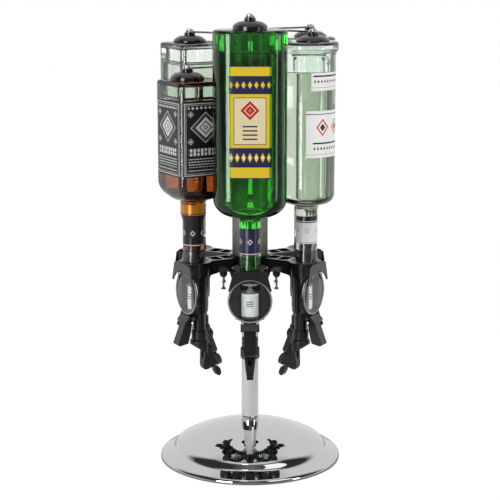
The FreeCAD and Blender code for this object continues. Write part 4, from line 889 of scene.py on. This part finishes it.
@dataclass
class Bottle:
    """One upended bottle with its drink and its paper, made facing the front and then turned to its station.

    Heights are above the table, so that the base is at the top and the mouth at the bottom.
    """

    station: int
    glass: Finishes
    drink: Finishes
    slot: str
    body: Outline
    base: float
    shoulder: float
    neck: float
    neck_radius: float
    level: float
    wraps: list[Wrap]
    punt: float = 0.0
    flare: float = 0.0
    sweep: float = 6.0
    collar: float = 0.0
    own_turn: float = 0.0
    circle: float = 84.0
    sides: int = 72
    corner_cuts: int = 10
    side_cuts: int = 7
    wall: float = 2.6
    bottom: float = 4.5
    shoulder_wall: float = 1.5
    heel: float = 4.0
    least_heel: float = 1.2
    taper: float = 8.0
    bore: float = 9.3
    mouth: float = 268.0
    lip: float = 0.6
    thread_top: float = 286.0
    thread_start: float = 272.0
    thread_out: float = 0.1
    thread_bead: float = 0.6
    thread_pitch: float = 3.2
    thread_laps: int = 2
    thread_cuts: int = 48
    throat: float = 13.6
    stopper_top: float = 292.15
    tube_radius: float = 3.6
    tube_rise: float = 34.2
    wetting: float = 0.05
    slack: float = 0.02
    brim: float = 0.6
    climb_width: float = 0.8
    climb_height: float = 0.5
    heel_steps: tuple[float, ...] = (0.35, 0.7, 0.9, 1.0)
    lip_steps: tuple[tuple[float, float], ...] = ((17.0, 0.3), (1.0, 0.3), (0.0, -0.4))
    flare_steps: tuple[tuple[float, float], ...] = ((8.0, 1.0), (10.5, 0.8), (13.5, 0.35), (17.0, 0.0))
    punt_steps: tuple[tuple[float, float], ...] = ((29.4, 0.0), (28.6, 0.3), (26.5, 0.45), (20.0, 0.17),
                                                   (9.0, 0.08))
    shoulder_steps: int = 12
    sweep_steps: int = 5

    def circle_start(self, name: str, radius: float, height: float, fill: str = "NOTHING") -> Piece:
        """A piece that starts as a circle about the upright axis."""
        return Piece(name, bpy.ops.mesh.primitive_circle_add, at=(0.0, 0.0, height), radius=radius * MM,
                     vertices=self.sides, fill_type=fill)

    def section(self, name: str, outline: Outline, height: float) -> Piece:
        """A flat face with an outline, in edit mode.

        Args:
            name: the piece's name.
            outline: the outline.
            height: the face's height.

        Returns:
            The piece.
        """
        if outline.is_round:
            return self.circle_start(name, outline.half_x, height, "NGON")
        piece = Piece(name, bpy.ops.mesh.primitive_plane_add, at=(0.0, 0.0, height), size=2 * MM)
        piece.resize(outline.half_x, outline.half_y, height)
        bpy.ops.mesh.bevel(affect="VERTICES", offset=outline.corner * MM, offset_type="OFFSET",
                           segments=self.corner_cuts)
        if max(outline.half_x, outline.half_y) - outline.corner > 1.0:
            straight = max(outline.corner * 0.35, 3.0)
            piece.pick(Kind.EDGE, lambda middle, way: way.length / MM > straight)
            bpy.ops.mesh.subdivide(number_cuts=self.side_cuts)
        return piece

    def shell(self, name: str, depth: float, floor: float, foot: float = 0.0, bore: float = 0.0) -> Piece:
        """A shell from its closed top down to its open foot.

        Args:
            name: the piece's name.
            depth: how far it lies inside the bottle's outside.
            floor: its top, as the bottle stands on its head.
            foot: its lower end, where it has a bore.
            bore: its radius in the neck, or 0 for the outside.

        Returns:
            The piece, with its foot's ring picked.
        """
        full = self.body.inset(depth)
        heel = max(self.heel - depth, self.least_heel)
        wide = 0.0 if depth else self.flare
        first = full.inset(heel - wide)
        piece = self.section(name, first, floor)
        piece.pick(Kind.EDGE, lambda middle, way: True)
        for angle in (share * math.pi / 2 for share in self.heel_steps):
            grown = heel * math.sin(angle)
            piece.ring(floor - heel * (1 - math.cos(angle)), first.half_x + grown, first.half_y + grown)
        if wide:
            for fall, share in self.flare_steps:
                piece.ring(floor - fall, full.half_x + wide * share, full.half_y + wide * share)
        neck = bore or self.neck_radius
        end = self.neck + self.sweep + (self.shoulder_wall if depth else 0.0)
        square = 1.0
        for angle in (step / self.shoulder_steps * math.pi / 2 for step in range(self.shoulder_steps + 1)):
            share = 1 - math.cos(angle)
            rounder = 0.0 if square <= 0 else 1 - (1 - share) / square
            square = 1 - share
            piece.ring(self.shoulder + (end - self.shoulder) * math.sin(angle),
                       full.half_x + (neck + self.sweep - full.half_x) * share,
                       full.half_y + (neck + self.sweep - full.half_y) * share, rounder)
        for angle in (step / self.sweep_steps * math.pi / 2 for step in range(1, self.sweep_steps + 1)):
            piece.ring(end - self.sweep * (1 - math.cos(angle)), neck + self.sweep * (1 - math.sin(angle)))
        if bore:
            return piece.ring(foot, bore)
        if self.collar:
            piece.ring(self.neck - self.collar, neck)
            piece.ring(self.neck - self.collar - self.taper, self.throat)
        return piece.ring(self.thread_top, self.throat)

    def settle(self, piece: Piece) -> Piece:
        """Turns the piece to the station and sets it on the circle of necks."""
        return piece.turned(self.own_turn).to_station(self.station, self.circle)

    def make_glass(self) -> bpy.types.Object:
        """The glass: an outer and an inner shell, bridged at the mouth.

        Returns:
            The finished object.
        """
        outer = self.shell(f"glass_{self.station}", 0.0, self.base)
        for rise, out in self.lip_steps:
            outer.ring(self.mouth + rise, self.throat + out)
        if self.punt:
            outer.pick_level(Kind.FACE, self.base)
            height = self.base
            for radius, fall in self.punt_steps:
                height -= fall * self.punt
                outer.face_ring(height, radius)
        outer.leave()
        floor = self.base - self.punt - self.bottom
        inner = self.shell("inside", self.wall, floor, self.mouth + self.lip, self.bore)
        inner.ring(self.mouth, self.bore + self.lip).leave()
        bpy.ops.object.select_all(action="DESELECT")
        inner.item.select_set(True)
        outer.item.select_set(True)
        bpy.context.view_layer.objects.active = outer.item
        bpy.ops.object.join()
        outer.edit().pick_level(Kind.EDGE, self.mouth)
        bpy.ops.mesh.bridge_edge_loops()
        self.settle(outer.clean().leave())
        return outer.dressed(self.glass, "carousel", self.slot, [f"bottle_{self.station}"], 28.0)

    def make_drink(self) -> bpy.types.Object:
        """The drink, which just wets the glass, from its level down to the stopper and its tube.

        Returns:
            The finished object.
        """
        edge = self.level + self.brim
        piece = self.shell(f"drink_{self.station}", self.wall - self.wetting, edge, self.stopper_top,
                           self.bore - self.slack)
        piece.fill()
        bpy.ops.mesh.select_mode(type="FACE")
        piece.inset(self.bore - self.tube_radius).extrude((0.0, 0.0, self.tube_rise))
        piece.pick_level(Kind.FACE, edge).inset(self.climb_width).lift(-self.climb_height)
        self.settle(piece.clean().leave())
        return piece.dressed(self.drink, "carousel", "drink", ["drinks"], 40.0)

    def make_wrap(self, wrap: Wrap) -> bpy.types.Object:
        """A sheet cut from the bottle's outline and given its thickness.

        Args:
            wrap: the sheet.

        Returns:
            The finished object.
        """
        taper_top = self.neck - self.collar
        taper_foot = taper_top - self.taper
        slim = self.throat + wrap.proud
        wide = self.neck_radius + wrap.proud
        if wrap.high < self.neck:
            low_radius = wide if self.collar and wrap.low > taper_foot else slim
            piece = self.circle_start(wrap.name, low_radius, wrap.low)
            if self.collar and wrap.low < taper_foot < wrap.high:
                share = (wrap.high - taper_foot) / self.taper
                piece.ring(taper_foot, slim).ring(wrap.high, slim + (wide - slim) * share)
            else:
                piece.extrude((0.0, 0.0, wrap.high - wrap.low))
        else:
            piece = self.section(wrap.name, self.body.inset(-wrap.proud), wrap.low)
            bpy.ops.mesh.select_all(action="SELECT")
            bpy.ops.mesh.delete(type="ONLY_FACE")
            piece.pick(Kind.EDGE, lambda middle, way: True).extrude((0.0, 0.0, wrap.high - wrap.low))
        if wrap.reach:
            turn = Matrix.Rotation(math.radians(-wrap.facing), 3, "Z")

            def outside(middle: Vector, way: Vector) -> bool:
                """Whether a point lies beyond the sheet's sides."""
                seen = turn @ middle
                return abs(seen.x) > wrap.reach or seen.y > -2.0

            piece.pick(Kind.VERT, outside)
            bpy.ops.mesh.delete(type="VERT")
        bpy.ops.mesh.select_all(action="SELECT")
        bpy.ops.mesh.normals_make_consistent(inside=False)
        wrap_sheet(piece.leave().item, wrap.facing, wrap.low)
        self.settle(piece.modify("SOLIDIFY", thickness=wrap.thick * MM, offset=1.0))
        return piece.dressed(wrap.finish, "carousel", self.slot)

    def make_thread(self) -> bpy.types.Object:
        """The screw thread on the mouth, a bead wound round it.

        Returns:
            The finished object.
        """
        piece = Piece(f"thread_{self.station}", bpy.ops.mesh.primitive_circle_add,
                      at=(self.throat + self.thread_out, 0.0, self.thread_start),
                      radius=self.thread_bead * MM, vertices=8,
                      rotation=(math.pi / 2, 0.0, 0.0))
        piece.leave().modify("SCREW", axis="Z", screw_offset=self.thread_pitch * MM,
                             iterations=self.thread_laps, steps=self.thread_cuts,
                             render_steps=self.thread_cuts, use_merge_vertices=False)
        piece.edit()
        bpy.ops.mesh.select_mode(type="EDGE")
        bpy.ops.mesh.select_all(action="DESELECT")
        bpy.ops.mesh.select_non_manifold()
        self.settle(piece.fill().clean().leave())
        return piece.dressed(self.glass, "carousel", self.slot, crease=50.0)

    def make(self) -> list[bpy.types.Object]:
        """The whole bottle."""
        made = [self.make_glass(), self.make_drink(), self.make_thread()]
        return made + [self.make_wrap(wrap) for wrap in self.wraps]


def all_bottles() -> list[Bottle]:
    """The six bottles.

    Returns:
        The bottles, from the front one round to the left one.
    """
    flask = Bottle(
        1, Finishes.GREEN, Finishes.TONIC, "green_glass", Outline(46.25, 28.0, 27.5),
        base=575.5, shoulder=366.0, neck=337.0, neck_radius=13.6, level=548.0, wraps=[
            Wrap("label_1", 395.2, 533.3, Finishes.HARVEST, reach=27.6),
            Wrap("sleeve_1", 295.5, 328.8, Finishes.NAVY),
        ])
    rounds = [Bottle(
        station, Finishes.PALE, Finishes.WATER, "clear_glass", Outline(35.0, 35.0, 34.9),
        base=558.3, shoulder=366.0, neck=345.0, neck_radius=13.6, level=521.0, punt=3.5, flare=3.8,
        sweep=8.0, wraps=[
            Wrap(f"label_{station}", 415.6, 474.4, Finishes.LINEN, reach=30.0, facing=-10.0),
            Wrap(f"tag_{station}", 499.3, 521.5, Finishes.LINEN, reach=26.0, facing=-10.0),
            Wrap(f"sleeve_{station}", 302.0, 329.0, Finishes.MILK),
            Wrap(f"ring_{station}", 329.3, 337.0, Finishes.JET),
        ]) for station in (2, 3, 4)]
    tall = Bottle(
        5, Finishes.PALE, Finishes.WATER, "clear_glass", Outline(35.0, 35.0, 11.0),
        base=551.0, shoulder=381.0, neck=353.0, neck_radius=16.2, level=524.0, punt=2.2, collar=14.0,
        own_turn=60.0, wraps=[
            Wrap("sleeve_5", 296.0, 333.0, Finishes.MILK),
        ])
    square = Bottle(
        6, Finishes.PALE, Finishes.AMBER, "clear_glass", Outline(35.0, 35.0, 11.0),
        base=510.0, shoulder=381.0, neck=353.0, neck_radius=16.2, level=485.0, punt=0.7, collar=14.0, wraps=[
            Wrap("label_6", 391.7, 486.6, Finishes.MIDNIGHT),
            Wrap("sleeve_6", 298.3, 338.9, Finishes.JET),
            Wrap("band_6", 339.2, 352.8, Finishes.AMBERBAND),
        ])
    return [flask, *rounds, tall, square]


# Measures


@dataclass
class Measure:
    """The fine pieces of a measure: a silver sleeve in its chamber and a rim round its lens."""

    circle: float = 79.5
    sleeve_low: float = 215.0
    sleeve_high: float = 242.6
    sleeve_radius: float = 10.75
    sleeve_wall: float = 0.35
    rolled: float = 0.2
    lens_height: float = 236.0
    rim_back: float = 95.15
    rim_inner: float = 26.3
    rim_outer: float = 28.35
    rim_depth: float = 0.75
    rim_bevel: float = 0.45
    rim_slope: float = 0.6

    def sleeve(self, station: int) -> bpy.types.Object:
        """The silver sleeve, a thin open tube with rolled edges.

        Args:
            station: its station.

        Returns:
            The finished object.
        """
        outside = self.sleeve_radius
        inside = outside - self.sleeve_wall
        soft = self.rolled / 2
        low, low_bend = self.sleeve_low, self.sleeve_low + self.rolled
        high, high_bend = self.sleeve_high, self.sleeve_high - self.rolled
        piece = hoop(f"measure_sleeve_{station}", (
            (outside, low_bend), (outside, high_bend), (outside - soft, high), (inside + soft, high),
            (inside, high_bend), (inside, low_bend), (inside + soft, low), (outside - soft, low),
        ), segments=64)
        wrap_sheet(piece.item, 0.0, low)
        return piece.to_station(station, self.circle).dressed(Finishes.GAUGE, "carousel", "silver_plastic")

    def rim(self, station: int) -> bpy.types.Object:
        """The clear rim, a ring laid on the edge of the lens.

        Args:
            station: its station.

        Returns:
            The finished object.
        """
        outer, inner, depth = self.rim_outer, self.rim_inner, self.rim_depth
        piece = hoop(f"lens_rim_{station}", (
            (outer, 0.0), (outer, depth * 0.6), (outer - self.rim_bevel, depth),
            (inner + self.rim_slope, depth), (inner, depth * 0.5), (inner, 0.0),
        ), segments=72)
        forward = Matrix.Translation((0.0, -self.rim_back * MM, self.lens_height * MM))
        piece.item.data.transform(forward @ Matrix.Rotation(math.pi / 2, 4, "X"))
        return piece.to_station(station).dressed(Finishes.RIM, "carousel", "clear_lens", crease=30.0)

    def make(self) -> list[bpy.types.Object]:
        """These pieces for all stations."""
        return [part(station) for station in range(1, STATIONS + 1) for part in (self.sleeve, self.rim)]


# Cups


@dataclass
class Ferrule:
    """The silver ferrule round the nipple of a cup, as radius and height of its rings."""

    circle: float = 91.0
    nipple: float = 2.4
    gap: float = 0.1
    outline: tuple[tuple[float, float], ...] = ((4.75, 0.0), (4.75, 0.95), (4.35, 1.35), (3.5, 1.9),
                                                (2.7, 2.15), (2.1, 2.15), (2.1, 0.0))

    def ferrule(self, station: int) -> bpy.types.Object:
        """One ferrule, set by the cup's own top.

        Args:
            station: the station of the cup.

        Returns:
            The finished object.
        """
        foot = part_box(f"cup_{station}")[1][2] / MM - self.nipple + self.gap
        rings = [(radius, foot + height) for radius, height in self.outline]
        piece = hoop(f"cup_ferrule_{station}", rings, segments=40)
        piece.to_station(station, self.circle)
        return piece.dressed(Finishes.BRIGHT, f"top_arm_{station}_body", "screw_chrome")

    def make(self) -> list[bpy.types.Object]:
        """A ferrule on each cup."""
        return [self.ferrule(station) for station in range(1, STATIONS + 1)]


# The frame's own nodes


@dataclass
class Metalwork:
    """Finishes of the nodes that stay as the frame has them."""

    single: dict[Finishes, tuple[str, ...]] = field(default_factory=lambda: {
        Finishes.CHROME: ("base_disc", "pole_foot"),
        Finishes.FOAM: ("base_pad",),
        Finishes.IRON: ("base_weight",),
        Finishes.STEEL: ("rod_fixings", "tie_rod", "spindle", "spindle_fixings", "column_screws",
                         "valve_springs", "lever_pins"),
        Finishes.POLE: ("pole",),
        Finishes.COLUMN: ("column",),
        Finishes.NYLON: ("thrust_washer",),
        Finishes.GLOSS: ("hub_arms", "column_cap"),
        Finishes.BRIGHT: ("arm_screws",),
        Finishes.LENS: ("lenses", "measuring_chambers"),
        Finishes.SILVER: ("metering_valves",),
        Finishes.RUBBER: ("stoppers",),
        Finishes.DARK: ("spouts",),
    })
    at_each_station: dict[Finishes, tuple[str, ...]] = field(default_factory=lambda: {
        Finishes.BLACK: ("measure_body", "lever"),
        Finishes.NYLON: ("plunger",),
        Finishes.BRIGHT: ("top_arm",),
        Finishes.RUBBER: ("cup",),
    })

    def dress(self) -> int:
        """Gives each node its finish.

        Returns:
            How many nodes were dressed.
        """
        names = [(finish, name) for finish, group in self.single.items() for name in group]
        names += [(finish, f"{name}_{station}") for finish, group in self.at_each_station.items()
                  for name in group for station in range(1, STATIONS + 1)]
        for finish, name in names:
            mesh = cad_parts[name].data
            mesh.materials.clear()
            mesh.materials.append(finish.value.material())
        return len(names)


# Studio


@dataclass(frozen=True)
class Card:
    """An upright white card, in metres, that only shows as a highlight on gloss."""

    name: str
    bearing: float
    distance: float
    width: float
    low: float
    high: float
    strength: float

    def make(self) -> None:
        """Stands the card up round the object, seen by mirroring surfaces alone."""
        turn = math.radians(self.bearing)
        piece = Piece(self.name, bpy.ops.mesh.primitive_plane_add, size=1.0).leave()
        upright = Matrix.Rotation(math.pi / 2, 4, "X")
        sized = Matrix.Diagonal((self.width, 1.0, self.high - self.low, 1.0))
        placed = Matrix.Translation((math.sin(turn) * self.distance, -math.cos(turn) * self.distance,
                                     (self.low + self.high) / 2))
        piece.item.data.transform(placed @ Matrix.Rotation(turn, 4, "Z") @ sized @ upright)
        paint = Paint(self.name, {})
        _, mirrored = paint.sight()
        empty = paint.node("ShaderNodeBsdfTransparent")
        lit = paint.glow(self.strength)
        mixed = paint.node("ShaderNodeMixShader", None, {0: mirrored, 1: empty, 2: lit})
        paint.link(mixed, "Material Output", "Surface")
        piece.item.data.materials.append(paint.material)


@dataclass(frozen=True)
class Lamp:
    """A soft box that points at the object's middle, in metres and watts."""

    name: str
    place: Place
    size: float
    power: float
    target: Place = (0.0, 0.0, 0.35)

    def make(self) -> None:
        """Hangs the lamp, unseen in mirroring surfaces."""
        data = bpy.data.lights.new(self.name, "AREA")
        data.shape, data.size, data.size_y, data.energy = "RECTANGLE", self.size, self.size, self.power
        lamp = bpy.data.objects.new(self.name, data)
        lamp.location = self.place
        lamp.visible_glossy = False
        lamp.rotation_euler = (Vector(self.target) - Vector(self.place)).to_track_quat("-Z", "Y").to_euler()
        bpy.context.scene.collection.objects.link(lamp)


@dataclass
class Studio:
    """Camera, floor and light."""

    eye: Place = (0.0, -1.970, 0.694)
    pitch: float = 11.8
    lens: float = 110.16
    sensor: float = 36.0
    clip: tuple[float, float] = (0.05, 30.0)
    floor_size: float = 60.0
    floor_grey: float = 0.6
    fill: float = 0.55
    bright: float = 0.84
    dark: float = 0.66
    cards: tuple[Card, ...] = (
        Card("left card", -31.0, 1.5, 0.5, 0.02, 0.62, 9.0),
        Card("right card", 58.0, 1.4, 0.2, 0.02, 0.6, 4.0),
        Card("high card", 42.0, 1.5, 0.9, 0.75, 2.1, 1.4),
        Card("brow card", -12.0, 0.8, 0.2, 1.5, 2.0, 4.0),
    )
    lamps: tuple[Lamp, ...] = (
        Lamp("left box", (-1.5, -1.4, 1.5), 0.8, 12.0),
        Lamp("right box", (1.5, -1.0, 1.3), 0.7, 7.0),
        Lamp("top box", (0.0, -0.2, 2.2), 1.4, 12.0),
    )

    def make_camera(self) -> None:
        """The camera at the photograph's angle."""
        data = bpy.data.cameras.new("camera")
        data.lens, data.sensor_width, data.sensor_fit = self.lens, self.sensor, "HORIZONTAL"
        data.clip_start, data.clip_end = self.clip
        camera = bpy.data.objects.new("camera", data)
        camera.location = self.eye
        camera.rotation_euler = (math.radians(90 - self.pitch), 0.0, 0.0)
        bpy.context.scene.collection.objects.link(camera)
        bpy.context.scene.camera = camera

    def make_floor(self) -> None:
        """A plain pale floor that keeps the object's shadow and is dimmer in chrome near the viewer."""
        piece = Piece("floor", bpy.ops.mesh.primitive_plane_add, size=self.floor_size).leave()
        grey = (self.floor_grey, self.floor_grey, self.floor_grey, 1.0)
        paint = Paint("pale floor", {"Roughness": 0.9, "Base Color": grey})
        seen, mirrored = paint.sight()
        side, away, _ = paint.parts(paint.spot())
        near_left = side.spread(-0.02, -0.25) * away.spread(-1.1, -0.8) * 0.75
        far = away.spread(-0.1, 0.35).most(near_left)
        share = seen * 0.76 + mirrored * (far * 0.3 + 0.6)
        lit = paint.glow(seen * 1.2 + mirrored * (far * 0.85 + 0.08))
        mixed = paint.node("ShaderNodeMixShader", None, {0: share, 2: lit})
        paint.tree.links.new(paint.shader.outputs[0], mixed.socket.node.inputs[1])
        paint.link(mixed, "Material Output", "Surface")
        piece.item.data.materials.append(paint.material)

    def make_world(self) -> None:
        """A white room with a dark wall behind the viewer, which only metal, glass and gloss show."""
        world = bpy.data.worlds.new("room")
        world.use_nodes = True
        bpy.context.scene.world = world
        board = Board(world.node_tree)
        side, away, up = board.parts(board.node("ShaderNodeTexCoord", output="Object"))
        low = up.spread(0.1, 0.22).most(away.spread(-0.4, -0.75))
        through = board.node("ShaderNodeLightPath", output="Transmission Depth") > 0.5
        wall = away.spread(0.42, 0.1) * low * up.spread(0.96, 0.88) * (1.0 - through * 0.6)
        seen, mirrored = board.sight()
        shade = wall * (self.dark + abs(side).spread(0.05, 0.4) * 0.14)
        level = self.fill + seen * (1.0 - self.fill) + mirrored * (self.bright - self.fill - shade)
        board.link(level, "Background", "Strength")
        world.node_tree.nodes["Background"].inputs["Color"].default_value = WHITE

    def make(self) -> None:
        """Sets up the whole studio."""
        self.make_camera()
        self.make_floor()
        self.make_world()
        for item in (*self.cards, *self.lamps):
            item.make()
        bpy.context.scene.view_settings.view_transform = "Standard"


def main() -> None:
    """Builds the studio and the dispenser's pieces in order."""
    logging.basicConfig(level=logging.INFO, format="%(name)s: %(message)s")
    Studio().make()
    log.info("dressed %d nodes", Metalwork().dress())
    for group in (Measure(), Ferrule(), *all_bottles()):
        for item in group.make():
            log.info("%s: %d faces", item.name, len(item.data.polygons))


if __name__ == "__main__":
    main()
